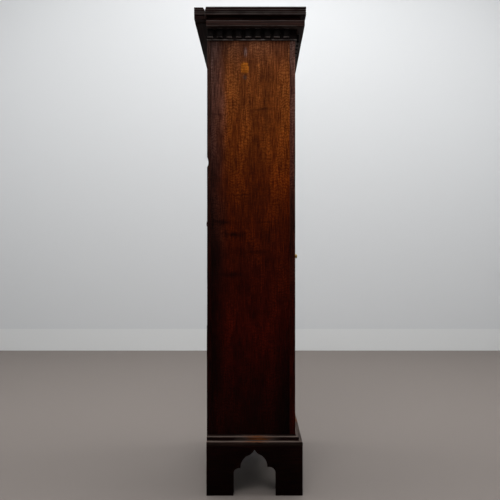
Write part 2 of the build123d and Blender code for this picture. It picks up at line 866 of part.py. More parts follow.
with BuildPart() as dial_door_catch:
    turn_catch(dial_knob_x, dial_centre_z, disc_stand)
    block(
        (dial_knob_x - disc_slot_width / 2, dial_knob_x + disc_slot_width / 2),
        (front_y - disc_stand - 1, front_y - disc_stand + disc_slot_depth),
        (dial_centre_z - knob_radius, dial_centre_z + knob_radius),
        Mode.SUBTRACT,
    )
keep(dial_door_catch, "dial_door_catch")


# ---------------------------------------------------------------- butt hinges on an upright pin
def knuckle_spans(height, fixed):
    """The spans of the knuckles on one leaf: the case's leaf has the first, third and fifth."""
    share = hinge_leaf_length / hinge_knuckles
    low = height - hinge_leaf_length / 2
    for number in range(hinge_knuckles):
        if (number % 2 == 0) == fixed:
            start = low + number * share
            trim = hinge_clearance / 2
            last = number == hinge_knuckles - 1
            yield (start + (trim if number else 0), start + share - (0 if last else trim))


def hinge_leaf(height, fixed):
    """One leaf of a hinge, with its knuckles and room for the other leaf's knuckles."""
    near = hinge_x + (hinge_leaf_gap / 2 if fixed else -hinge_leaf_gap / 2 - hinge_leaf_thickness)
    half = hinge_leaf_length / 2
    block((near, near + hinge_leaf_thickness), leaf_y, (height - half, height + half))
    for z in knuckle_spans(height, not fixed):
        grown = (z[0] - hinge_clearance, z[1] + hinge_clearance)
        post(hinge_x, hinge_y, grown, knuckle_radius + hinge_clearance, Mode.SUBTRACT)
    for z in knuckle_spans(height, fixed):
        post(hinge_x, hinge_y, z, knuckle_radius)


def hinge_pin(height, radius, mode=Mode.ADD):
    """The pin, or the hole for it, along the whole hinge."""
    half = hinge_leaf_length / 2
    post(hinge_x, hinge_y, (height - half, height + half), radius, mode)


with BuildPart() as case_hinge_leaves:
    for door in ("trunk", "dial"):
        for height in hinge_heights[door]:
            hinge_leaf(height, True)
            hinge_pin(height, hinge_pin_radius)
keep(case_hinge_leaves, "case_hinge_leaves")

with BuildPart() as trunk_door_hinge_leaves:
    for height in hinge_heights["trunk"]:
        hinge_leaf(height, False)
        hinge_pin(height, hinge_pin_radius + hinge_clearance, Mode.SUBTRACT)
keep(trunk_door_hinge_leaves, "trunk_door_hinge_leaves")

with BuildPart() as dial_door_hinge_leaves:
    for height in hinge_heights["dial"]:
        hinge_leaf(height, False)
        hinge_pin(height, hinge_pin_radius + hinge_clearance, Mode.SUBTRACT)
keep(dial_door_hinge_leaves, "dial_door_hinge_leaves")

# ---------------------------------------------------------------- movement: where every arbor stands
great_distance = (great_teeth + great_pinion) / 2 * great_module
inter_distance = (inter_teeth + inter_pinion) / 2 * inter_module
third_distance = (centre_teeth + centre_pinion) / 2 * centre_module
escape_distance = (third_teeth + third_pinion) / 2 * third_module
motion_distance = (cannon_teeth + minute_teeth) / 2 * cannon_module


def meeting(low, high, from_low, from_high, side):
    """The place beside the upright line x=0 at two given distances from two heights on it."""
    span = high - low
    up = (from_low**2 - from_high**2 + span**2) / (2 * span)
    return (side * sqrt(from_low**2 - up**2), low + up)


centre_place = (0.0, centre_z)
escape_place = (0.0, escape_z)
pallet_place = (0.0, pallet_z)
third_place = meeting(centre_z, escape_z, third_distance, escape_distance, -1)
barrel_place = (0.0, centre_z - barrel_below_centre)
inter_place = meeting(barrel_place[1], centre_z, great_distance, inter_distance, 1)
motion_angle = radians(motion_work_angle)
minute_place = (motion_distance * sin(motion_angle), centre_z + motion_distance * cos(motion_angle))

dial_y = (front_y + dial_setback, front_y + dial_setback + dial_thickness)
front_plate_y = (dial_y[1] + motion_work_depth, dial_y[1] + motion_work_depth + plate_thickness)
back_plate_y = (front_plate_y[1] + plate_gap, front_plate_y[1] + plate_gap + plate_thickness)
plate_z = (barrel_place[1] - plate_below_barrel, pallet_z + plate_above_pallets)
pillar_places = [
    (side * (plate_width / 2 - pillar_inset), z)
    for side in (-1, 1)
    for z in (plate_z[0] + pillar_inset, plate_z[1] - pillar_inset)
]
foot_heights = (pallet_z - dial_foot_drops[0], barrel_place[1] - dial_foot_drops[1])
foot_places = [(side * dial_foot_spread, z) for side in (-1, 1) for z in foot_heights]


def level(start, length):
    """A span along Y that starts this far behind the front plate's back."""
    return (front_plate_y[1] + start, front_plate_y[1] + start + length)


# ---------------------------------------------------------------- seat board on its two bearers
seat_top = plate_z[0]
seat_y = (dial_y[1] + seatboard_gap, dial_y[1] + seatboard_gap + seatboard_depth)
with BuildPart() as seat_board:
    block((-inner_half_width, inner_half_width), seat_y, (seat_top - seatboard_thickness, seat_top))
keep(seat_board, "seat_board")

with BuildPart() as seat_board_bearers:
    for side in (-1, 1):
        span = sorted((side * (inner_half_width - bearer_size), side * inner_half_width))
        bearer_top = seat_top - seatboard_thickness
        block(span, seat_y, (bearer_top - bearer_size, bearer_top))
keep(seat_board_bearers, "seat_board_bearers")


# ---------------------------------------------------------------- gear wheels and pinions
def toothed(place, y, teeth, module, toward, on_line):
    """A disc with slim straight-sided teeth. A tooth, or a gap, lies on the line to its partner."""
    small = teeth < 20
    pitch_radius = teeth * module / 2
    tip = pitch_radius + (0.7 if not small else 0.6) * module
    root = pitch_radius - 1.05 * module
    step = 2 * pi / teeth
    share_root, share_tip = (0.16, 0.10) if small else (0.24, 0.11)
    line = atan2(toward[1] - place[1], toward[0] - place[0])
    start = line + (0 if on_line else step / 2)
    points = []
    for number in range(teeth):
        middle = start + number * step
        for radius, angle in (
            (root, middle - share_root * step),
            (tip, middle - share_tip * step),
            (tip, middle + share_tip * step),
            (root, middle + share_root * step),
        ):
            points.append((place[0] + radius * cos(angle), place[1] + radius * sin(angle)))
    with BuildSketch(Plane.XZ.offset(-y[1])) as section:
        with BuildLine() as outline:
            Polyline(*points, close=True)
        make_face(outline.line)
    extrude(section.sketch, amount=y[1] - y[0])


def crossings(place, y, rim, hub, arm=3.0):
    """Cuts four windows out of a wheel, which leaves four arms."""
    with BuildSketch(Plane.XZ.offset(-y[1])) as windows:
        with Locations(place):
            Circle(rim)
            Circle(hub, mode=Mode.SUBTRACT)
            Rectangle(arm, 2 * rim + 2, mode=Mode.SUBTRACT)
            Rectangle(2 * rim + 2, arm, mode=Mode.SUBTRACT)
    extrude(windows.sketch, amount=y[1] - y[0], mode=Mode.SUBTRACT)


between_plates = level(arbor_end_play, plate_gap - 2 * arbor_end_play)


def arbor(place):
    """A plain arbor between the plates, with a thinner pivot in each of them."""
    rod(*place, between_plates, arbor_radius)
    rod(*place, (front_plate_y[0], back_plate_y[1]), pivot_radius)


great_y = level(plate_gap - great_wheel_from_back, great_wheel_thickness)
inter_y = level(plate_gap - inter_wheel_from_back, wheel_thickness)
centre_y = level(centre_wheel_level, wheel_thickness)
third_y = level(plate_gap - third_wheel_from_back, wheel_thickness)
escape_y = level(plate_gap - escape_wheel_from_back, wheel_thickness)


def pinion_span(wheel_y):
    """A pinion is longer than the wheel it meets and has it in its middle."""
    middle = (wheel_y[0] + wheel_y[1]) / 2
    return (middle - pinion_length / 2, middle + pinion_length / 2)


drum_y = (level(drum_level, 0)[0], great_y[0])
barrel_wall = 1.5
arbor_hub_radius = 7.0
barrel_bore = 4.0
barrel_arbor_radius = 3.5
with BuildPart() as barrel:
    toothed(barrel_place, great_y, great_teeth, great_module, inter_place, True)
    rod(*barrel_place, drum_y, barrel_radius)
    inside = (drum_y[0] + barrel_wall, drum_y[1] - barrel_wall)
    rod(*barrel_place, inside, barrel_radius - barrel_wall, Mode.SUBTRACT)
    whole = (drum_y[0] - 1, great_y[1] + 1)
    rod(*barrel_place, whole, barrel_bore + 0.1, Mode.SUBTRACT)
keep(barrel, "barrel")

ratchet_y = (front_plate_y[0] - 4.0, front_plate_y[0] - 1.0)
ratchet_radius = 14.0
ratchet_teeth = 24
square_half = 2.6
with BuildPart() as barrel_arbor:
    rod(*barrel_place, between_plates, barrel_bore)
    rod(*barrel_place, (inside[0] + arbor_end_play, inside[1] - arbor_end_play), arbor_hub_radius)
    rod(*barrel_place, (ratchet_y[0] - 1.0, back_plate_y[1]), barrel_arbor_radius)
    with BuildSketch(Plane.XZ.offset(-ratchet_y[1])) as ratchet:
        with BuildLine() as ratchet_line:
            teeth_points = []
            for number in range(ratchet_teeth):
                angle = 2 * pi * number / ratchet_teeth
                for radius, turn in ((ratchet_radius, angle), (ratchet_radius - 1.8, angle + 0.02)):
                    teeth_points.append(
                        (barrel_place[0] + radius * cos(turn), barrel_place[1] + radius * sin(turn))
                    )
            Polyline(*teeth_points, close=True)
        make_face(ratchet_line.line)
    extrude(ratchet.sketch, amount=ratchet_y[1] - ratchet_y[0])
    block(
        (barrel_place[0] - square_half, barrel_place[0] + square_half),
        (dial_y[0] - 1.5, ratchet_y[0]),
        (barrel_place[1] - square_half, barrel_place[1] + square_half),
    )
keep(barrel_arbor, "barrel_arbor")

with BuildPart() as intermediate_wheel:
    arbor(inter_place)
    toothed(inter_place, pinion_span(great_y), great_pinion, great_module, barrel_place, False)
    toothed(inter_place, inter_y, inter_teeth, inter_module, centre_place, True)
    crossings(inter_place, inter_y, inter_teeth * inter_module / 2 - 3.0, 6.0)
keep(intermediate_wheel, "intermediate_wheel")

centre_radius = 1.7
centre_arbor_radius = 1.9
centre_nose = dial_y[0] - arbor_nose_stand
with BuildPart() as centre_wheel:
    rod(*centre_place, between_plates, centre_arbor_radius)
    rod(*centre_place, (centre_nose, front_plate_y[1] + 1.0), centre_radius)
    rod(*centre_place, (back_plate_y[0] - 1.0, back_plate_y[1]), pivot_radius)
    toothed(centre_place, pinion_span(inter_y), inter_pinion, inter_module, inter_place, False)
    toothed(centre_place, centre_y, centre_teeth, centre_module, third_place, True)
    crossings(centre_place, centre_y, centre_teeth * centre_module / 2 - 3.0, 6.0)
keep(centre_wheel, "centre_wheel")

with BuildPart() as third_wheel:
    arbor(third_place)
    toothed(third_place, pinion_span(centre_y), centre_pinion, centre_module, centre_place, False)
    toothed(third_place, third_y, third_teeth, third_module, escape_place, True)
    crossings(third_place, third_y, third_teeth * third_module / 2 - 2.6, 5.0, 2.4)
keep(third_wheel, "third_wheel")

escape_root = 12.6
with BuildPart() as escape_wheel:
    arbor(escape_place)
    toothed(escape_place, pinion_span(third_y), third_pinion, third_module, third_place, False)
    with BuildSketch(Plane.XZ.offset(-escape_y[1])) as escape_disc:
        with BuildLine() as escape_line:
            escape_points = []
            for number in range(escape_teeth):
                angle = 2 * pi * number / escape_teeth
                for radius, turn in (
                    (escape_radius, angle),
                    (escape_root, angle + 0.055),
                    (escape_root, angle + 0.150),
                ):
                    escape_points.append((radius * sin(turn), escape_z + radius * cos(turn)))
            Polyline(*escape_points, close=True)
        make_face(escape_line.line)
    extrude(escape_disc.sketch, amount=wheel_thickness)
    crossings(escape_place, escape_y, escape_root - 2.0, 4.4, 2.0)
keep(escape_wheel, "escape_wheel")

# ---------------------------------------------------------------- motion work behind the dial
cannon_y = (front_plate_y[0] - 8.0, front_plate_y[0] - 3.0)
minute_wheel_y = (front_plate_y[0] - 6.5, front_plate_y[0] - 4.5)
hour_wheel_y = (dial_y[1] + 5.0, dial_y[1] + 7.0)
minute_hand_y = (dial_y[0] - minute_hand_stand, dial_y[0] - minute_hand_stand + hand_thickness)
hour_hand_y = (dial_y[0] - hour_hand_stand, dial_y[0] - hour_hand_stand + hand_thickness)
cannon_pipe_radius = 3.4
hour_pipe_radius = 5.0

with BuildPart() as cannon_pinion:
    toothed(centre_place, cannon_y, cannon_teeth, cannon_module, minute_place, False)
    rod(*centre_place, (minute_hand_y[0] - 0.8, cannon_y[1]), cannon_pipe_radius)
    rod(*centre_place, (minute_hand_y[0] - 2, cannon_y[1] + 1), centre_radius, Mode.SUBTRACT)
keep(cannon_pinion, "cannon_pinion")

minute_stud_radius = 1.5
minute_pinion_y = (hour_wheel_y[0] - 1.5, minute_wheel_y[0] + 0.5)
with BuildPart() as minute_wheel:
    toothed(minute_place, minute_wheel_y, minute_teeth, cannon_module, centre_place, True)
    toothed(minute_place, minute_pinion_y, minute_pinion, hour_module, centre_place, False)
    whole = (minute_pinion_y[0] - 1, minute_wheel_y[1] + 1)
    rod(*minute_place, whole, minute_stud_radius + pivot_clearance, Mode.SUBTRACT)
    crossings(minute_place, minute_wheel_y, minute_teeth * cannon_module / 2 - 3.5, 6.5, 2.6)
keep(minute_wheel, "minute_wheel")

with BuildPart() as hour_wheel:
    toothed(centre_place, hour_wheel_y, hour_teeth, hour_module, minute_place, True)
    crossings(centre_place, hour_wheel_y, hour_teeth * hour_module / 2 - 3.5, 8.0, 3.0)
    rod(*centre_place, (hour_hand_y[0] - 0.6, hour_wheel_y[1]), hour_pipe_radius)
    rod(*centre_place, (hour_hand_y[0] - 2, hour_wheel_y[1] + 1), cannon_pipe_radius + 0.15, Mode.SUBTRACT)
keep(hour_wheel, "hour_wheel")


# ---------------------------------------------------------------- hands
def hand(y, angle, length, hub, spade, waist):
    """A flat spade hand that points this far round the dial, clockwise from twelve."""
    turn = radians(angle)

    def at(along, across):
        return (
            along * sin(turn) + across * cos(turn),
            centre_z + along * cos(turn) - across * sin(turn),
        )

    with BuildSketch(Plane.XZ.offset(-y[1])) as shape:
        with Locations(centre_place):
            Circle(hub)
        with BuildLine() as arm:
            Polyline(at(0, -waist), at(length * 0.8, -waist * 0.55), at(length * 0.8, waist * 0.55),
                     at(0, waist), close=True)
        make_face(arm.line)
        with Locations(at(length * 0.76, 0)):
            Circle(spade)
        with BuildLine() as point:
            Polyline(at(length * 0.76, -spade * 0.98), at(length, -0.4), at(length, 0.4),
                     at(length * 0.76, spade * 0.98), close=True)
        make_face(point.line)
    extrude(shape.sketch, amount=y[1] - y[0])


with BuildPart() as minute_hand:
    hand(minute_hand_y, minute_at_rest, minute_hand_length, 7.0, 5.0, 1.7)
    rod(*centre_place, (minute_hand_y[0] - 1, minute_hand_y[1] + 1), cannon_pipe_radius, Mode.SUBTRACT)
keep(minute_hand, "minute_hand")

with BuildPart() as hour_hand:
    hand(hour_hand_y, hour_at_rest, hour_hand_length, 8.6, 8.5, 2.2)
    rod(*centre_place, (hour_hand_y[0] - 1, hour_hand_y[1] + 1), hour_pipe_radius, Mode.SUBTRACT)
keep(hour_hand, "hour_hand")

# ---------------------------------------------------------------- dial, chapter ring, spandrels, feet
half_dial = dial_size / 2
with BuildPart() as dial_plate:
    block((-half_dial, half_dial), dial_y, (centre_z - half_dial, centre_z + half_dial))
    rod(*centre_place, (dial_y[0] - 1, dial_y[1] + 1), hour_pipe_radius + 0.6, Mode.SUBTRACT)
    rod(*barrel_place, (dial_y[0] - 1, dial_y[1] + 1), winding_hole_radius, Mode.SUBTRACT)
keep(dial_plate, "dial_plate")

ring_y = (dial_y[0] - chapter_thickness, dial_y[0])
with BuildPart() as chapter_ring:
    rod(*centre_place, ring_y, chapter_outer_radius)
    rod(*centre_place, (ring_y[0] - 1, ring_y[1] + 1), chapter_inner_radius, Mode.SUBTRACT)
keep(chapter_ring, "chapter_ring")

spandrel_lobes = (
    (spandrel_from_centre, 0, 11), (160, 8, 7), (160, -8, 7), (170, 0, 6.5),
    (144, 15, 8), (144, -15, 8), (138, 27, 6.5), (138, -27, 6.5),
)
with BuildPart() as dial_spandrels:
    with BuildSketch(Plane.XZ.offset(-dial_y[0])) as leaves:
        for quarter in range(4):
            for along, across, radius in spandrel_lobes:
                turn = radians(45 + 90 * quarter)
                with Locations((along * cos(turn) - across * sin(turn),
                                centre_z + along * sin(turn) + across * cos(turn))):
                    Circle(radius)
        for quarter in range(4):
            turn = radians(45 + 90 * quarter)
            eye = (spandrel_from_centre * cos(turn), centre_z + spandrel_from_centre * sin(turn))
            with Locations(eye):
                Circle(spandrel_eye_radius, mode=Mode.SUBTRACT)
    extrude(leaves.sketch, amount=spandrel_thickness)
keep(dial_spandrels, "dial_spandrels")

with BuildPart() as dial_feet:
    for x, z in foot_places:
        rod(x, z, (dial_y[1], front_plate_y[0]), dial_foot_radius)
keep(dial_feet, "dial_feet")

# ---------------------------------------------------------------- movement plates and pillars
half_plate = plate_width / 2
pivoted = (inter_place, third_place, escape_place)
pallet_opening = 5.0
with BuildPart() as movement_front_plate:
    block((-half_plate, half_plate), front_plate_y, plate_z)
    through = (front_plate_y[0] - 1, front_plate_y[1] + 1)
    for place in (*pivoted, pallet_place):
        rod(*place, through, pivot_radius + pivot_clearance, Mode.SUBTRACT)
    rod(*centre_place, through, centre_radius + pivot_clearance, Mode.SUBTRACT)
    rod(*barrel_place, through, barrel_arbor_radius + pivot_clearance, Mode.SUBTRACT)
    rod(*minute_place, (minute_pinion_y[0] - 1.0, front_plate_y[0]), minute_stud_radius)
    click_x = ratchet_radius + 0.4
    block((click_x, click_x + 5.0), ratchet_y, (barrel_place[1] - 2.0, barrel_place[1] + 22.0))
    rod(click_x + 2.5, barrel_place[1] + 20.0, (ratchet_y[0] - 1.0, front_plate_y[0]), 3.0)
keep(movement_front_plate, "movement_front_plate")

with BuildPart() as movement_back_plate:
    block((-half_plate, half_plate), back_plate_y, plate_z)
    through = (back_plate_y[0] - 1, back_plate_y[1] + 1)
    for place in (*pivoted, centre_place):
        rod(*place, through, pivot_radius + pivot_clearance, Mode.SUBTRACT)
    rod(*barrel_place, through, barrel_arbor_radius + pivot_clearance, Mode.SUBTRACT)
    rod(*pallet_place, through, pallet_opening, Mode.SUBTRACT)
keep(movement_back_plate, "movement_back_plate")

with BuildPart() as movement_pillars:
    for x, z in pillar_places:
        rod(x, z, (front_plate_y[1], back_plate_y[0]), pillar_radius)
keep(movement_pillars, "movement_pillars")

# ---------------------------------------------------------------- anchor, crutch, back cock, pendulum
pendulum_y = back_plate_y[1] + pendulum_gap
cock_y = (back_plate_y[1] + cock_gap, back_plate_y[1] + cock_gap + cock_thickness)
crutch_y = (back_plate_y[1] + crutch_gap, back_plate_y[1] + crutch_gap + crutch_thickness)
anchor_y = (escape_y[0] - 1.0, escape_y[1] + 1.0)
tip_radius = escape_radius + pallet_clearance
span_angle = radians(escape_span_angle)
fork_gap = 0.5
with BuildPart() as anchor:
    arbor_end = cock_y[0] - arbor_end_play
    rod(*pallet_place, (between_plates[0], arbor_end), arbor_radius)
    rod(*pallet_place, (front_plate_y[0], cock_y[1]), pivot_radius)
    rod(*pallet_place, anchor_y, 4.0)
    with BuildSketch(Plane.XZ.offset(-anchor_y[1])) as arms:
        for side in (-1, 1):
            tip = (side * tip_radius * sin(span_angle), escape_z + tip_radius * cos(span_angle))
            with BuildLine() as arm_line:
                Polyline(
                    (0, pallet_z + 3.6),
                    (side * 17.5, tip[1] + 6.0),
                    (side * 18.0, tip[1] + 1.0),
                    tip,
                    (side * 12.4, tip[1] + 3.6),
                    (0, pallet_z - 3.4),
                    close=True,
                )
            make_face(arm_line.line)
    extrude(arms.sketch, amount=anchor_y[1] - anchor_y[0])
    rod(*pallet_place, (crutch_y[0], crutch_y[1]), 4.0)
    block((-2.0, 2.0), crutch_y, (pallet_z - crutch_length, pallet_z))
    fork_z = (pallet_z - crutch_length - fork_wall, pallet_z - crutch_length + fork_wall)
    fork_reach = pendulum_rod_radius + fork_gap
    fork_half = fork_reach + fork_wall
    block((-fork_half, fork_half), (crutch_y[0], pendulum_y - fork_reach), fork_z)
    for side in (-1, 1):
        span = sorted((side * fork_reach, side * fork_half))
        block(span, (pendulum_y - fork_reach, pendulum_y + 4.0), fork_z)
keep(anchor, "anchor")

cheek_gap = 4.5
with BuildPart() as back_cock:
    for side in (-1, 1):
        span = sorted((side * 14.0, side * 20.0))
        block(span, (back_plate_y[1], cock_y[1]), (pallet_z - 5.0, pallet_z + 12.0))
        cheek = sorted((side * cheek_gap, side * (cheek_gap + 4.0)))
        block(cheek, (cock_y[1], pendulum_y + 5.0), (pallet_z + 2.0, pallet_z + 12.0))
    block((-20.0, 20.0), cock_y, (pallet_z - 5.0, pallet_z + 12.0))
    rod(*pallet_place, (cock_y[0] - 1, cock_y[1] + 1), pivot_radius + pivot_clearance, Mode.SUBTRACT)
keep(back_cock, "back_cock")

spring_x = (-spring_thickness / 2, spring_thickness / 2)
spring_y = (pendulum_y - spring_half_width, pendulum_y + spring_half_width)
with BuildPart() as suspension_spring:
    block(spring_x, spring_y, (pallet_z - 10.0, pallet_z + 6.0))
    block((-2.5, 2.5), spring_y, (pallet_z + 5.0, pallet_z + 11.0))
keep(suspension_spring, "suspension_spring")

rod_end = bob_z - bob_radius - rod_tail
with BuildPart() as pendulum_rod:
    post(0, pendulum_y, (rod_end, pallet_z - 8.0), pendulum_rod_radius)
    post(0, pendulum_y, (pallet_z - 16.0, pallet_z - 6.0), 4.0)
    spring_slot_z = (pallet_z - 10.0, pallet_z - 5.0)
    block(spring_x, spring_y, spring_slot_z, Mode.SUBTRACT)
keep(pendulum_rod, "pendulum_rod")

with BuildPart() as pendulum_bob:
    rod(0, bob_z, (pendulum_y - bob_thickness / 2, pendulum_y + bob_thickness / 2), bob_radius)
    chamfer(
        pendulum_bob.edges().filter_by(GeomType.CIRCLE),
        length=bob_thickness / 2 - 2.5,
        length2=bob_radius * 0.55,
    )
    bore = (bob_z - bob_radius - 1, bob_z + bob_radius + 1)
    post(0, pendulum_y, bore, pendulum_rod_radius, Mode.SUBTRACT)
keep(pendulum_bob, "pendulum_bob")

nut_z = (bob_z - bob_radius - nut_height, bob_z - bob_radius)
with BuildPart() as rating_nut:
    post(0, pendulum_y, nut_z, nut_radius)
    post(0, pendulum_y, (nut_z[0] - 1, nut_z[1] + 1), pendulum_rod_radius, Mode.SUBTRACT)
keep(rating_nut, "rating_nut")
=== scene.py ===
from math import cos, pi, radians, sin

import bmesh
import bpy
from mathutils import Matrix, Vector, noise


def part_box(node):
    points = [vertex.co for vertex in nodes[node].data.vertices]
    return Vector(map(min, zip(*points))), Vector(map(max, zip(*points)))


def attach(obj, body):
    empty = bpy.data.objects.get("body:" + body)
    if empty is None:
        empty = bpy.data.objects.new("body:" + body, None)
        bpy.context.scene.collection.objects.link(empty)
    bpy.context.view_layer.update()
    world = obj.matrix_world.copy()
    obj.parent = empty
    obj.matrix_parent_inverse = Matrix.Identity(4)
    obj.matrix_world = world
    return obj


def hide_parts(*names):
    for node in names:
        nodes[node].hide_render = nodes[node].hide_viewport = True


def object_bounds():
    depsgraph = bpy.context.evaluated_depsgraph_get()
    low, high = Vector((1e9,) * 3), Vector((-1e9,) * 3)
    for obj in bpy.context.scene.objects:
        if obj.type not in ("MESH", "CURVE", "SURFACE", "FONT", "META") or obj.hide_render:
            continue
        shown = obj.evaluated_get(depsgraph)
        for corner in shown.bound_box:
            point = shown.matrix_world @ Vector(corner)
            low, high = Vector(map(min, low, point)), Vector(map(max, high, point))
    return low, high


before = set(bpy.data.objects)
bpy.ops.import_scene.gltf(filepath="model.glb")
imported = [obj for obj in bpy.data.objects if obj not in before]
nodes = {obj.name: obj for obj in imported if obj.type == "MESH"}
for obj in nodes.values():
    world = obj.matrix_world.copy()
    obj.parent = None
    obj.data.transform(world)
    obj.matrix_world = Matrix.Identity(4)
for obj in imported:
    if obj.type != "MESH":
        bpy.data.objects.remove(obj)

scene = bpy.context.scene
cad_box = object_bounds()

# -------- camera
# It stands level, square to the clock's left side, a little above half its height, and its
# picture is shifted so that the clock stands left of the middle.
camera_data = bpy.data.cameras.new("camera")
camera_data.sensor_width = camera_data.lens = 36.0
camera_data.shift_x, camera_data.shift_y = -0.016, 0.027
camera = bpy.data.objects.new("camera", camera_data)
camera.location = (-1.6558, -0.0224, 0.667)
camera.rotation_euler = (radians(90), 0, radians(-90))
scene.collection.objects.link(camera)
scene.camera = camera

# -------- room
# A plain floor, pale walls, one of them with a white skirting board, and five soft lamps high up:
# over the clock and on each side of it. None of them is part of the clock.
scene.view_settings.view_transform = "Standard"
world = bpy.data.worlds.new("soft_room")
world.use_nodes = True
sky = world.node_tree.nodes["Background"].inputs
sky["Color"].default_value, sky["Strength"].default_value = (0.96, 0.98, 1.0, 1), 0.08
scene.world = world


def stage_sheet(name, corners, colour):
    """A flat four-cornered piece of the room."""
    mesh = bpy.data.meshes.new(name)
    mesh.from_pydata(corners, [], [(0, 1, 2, 3)])
    paint = bpy.data.materials.new(name)
    paint.use_nodes = True
    looks = paint.node_tree.nodes["Principled BSDF"].inputs
    looks["Base Color"].default_value, looks["Roughness"].default_value = (*colour, 1), 0.7
    mesh.materials.append(paint)
    sheet = bpy.data.objects.new(name, mesh)
    scene.collection.objects.link(sheet)


right_x, left_x, half_depth, wall_top = 2.19, -3.2, 3.2, 4.0
skirting_x, skirting_height = right_x - 0.015, 0.166
wall_paint, skirting_paint, floor_paint = (0.60, 0.612, 0.622), (0.66, 0.67, 0.67), (0.160, 0.137, 0.123)
near_left, far_left = (left_x, -half_depth), (left_x, half_depth)
near_right, far_right = (right_x, -half_depth), (right_x, half_depth)


def wall(name, start, end, top=wall_top, paint=wall_paint):
    """An upright piece of the room between two places on the floor."""
    stage_sheet(name, [(*start, 0), (*end, 0), (*end, top), (*start, top)], paint)


corners = (near_left, near_right, far_right, far_left)
stage_sheet("floor", [(*corner, 0) for corner in corners], floor_paint)
wall("wall_right", near_right, far_right)
wall("wall_left", near_left, far_left)
wall("wall_front", near_left, near_right)
wall("wall_back", far_left, far_right)
wall("skirting", (skirting_x, -half_depth), (skirting_x, half_depth), skirting_height, skirting_paint)


def soft_lamp(name, place, aim, size, power):
    """A square soft lamp that points at a place."""
    data = bpy.data.lights.new(name, "AREA")
    data.size, data.energy = size, power
    lamp = bpy.data.objects.new(name, data)
    lamp.location = place
    lamp.rotation_euler = (Vector(aim) - Vector(place)).to_track_quat("-Z", "Y").to_euler()
    scene.collection.objects.link(lamp)


soft_lamp("over", (0.5, 0.0, 3.8), (0.5, 0.0, 0.0), 2.4, 60)
soft_lamp("left_high", (-1.5, 0.25, 3.0), (-0.2, 0.0, 1.1), 1.3, 40)
soft_lamp("front", (0.2, -2.5, 3.1), (0.0, 0.0, 0.8), 1.6, 54)
soft_lamp("back", (0.2, 2.5, 3.1), (0.0, 0.0, 0.8), 1.6, 42)
soft_lamp("right", (1.1, -0.3, 3.3), (0.1, 0.0, 0.8), 1.0, 12)

# -------- side boards
# Each side is one wide plank of quarter-sawn oak, planed by hand, stained and polished over many
# years. Its colour is darker towards the floor, partly as stain and partly as painted shade, and
# darker along the back edge. The middle of the left side is worn to a warm orange brown, and a
# band high up on it carries a painted sheen.


class Value:
    """A number on a shader socket. Python's operators add the Math nodes for it."""

    def __init__(self, finish, socket):
        self.finish, self.socket = finish, socket

    def _maths(self, operation, *terms):
        made = self.finish.node("ShaderNodeMath", {"operation": operation}, terms)
        return Value(self.finish, made.outputs[0])

    def __add__(self, other):
        return self._maths("ADD", self, other)

    def __sub__(self, other):
        return self._maths("SUBTRACT", self, other)

    def __rsub__(self, other):
        return self._maths("SUBTRACT", other, self)

    def __mul__(self, other):
        return self._maths("MULTIPLY", self, other)

    def __truediv__(self, other):
        return self._maths("DIVIDE", self, other)

    def __pow__(self, other):
        return self._maths("POWER", self, other)

    __radd__, __rmul__ = __add__, __mul__

    def between(self, low, high):
        """0 below low, 1 above high, and a smooth step from one to the other. High may be the lower."""
        settings = {"interpolation_type": "SMOOTHSTEP", "clamp": True}
        made = self.finish.node("ShaderNodeMapRange", settings, (self, low, high))
        return Value(self.finish, made.outputs[0])

    def near(self, middle, width):
        """1 at the middle, down to 0 this far to either side."""
        away = self - middle
        return away._maths("ABSOLUTE", away).between(width, 0.0)

    def sine(self):
        """Its sine."""
        return self._maths("SINE", self)


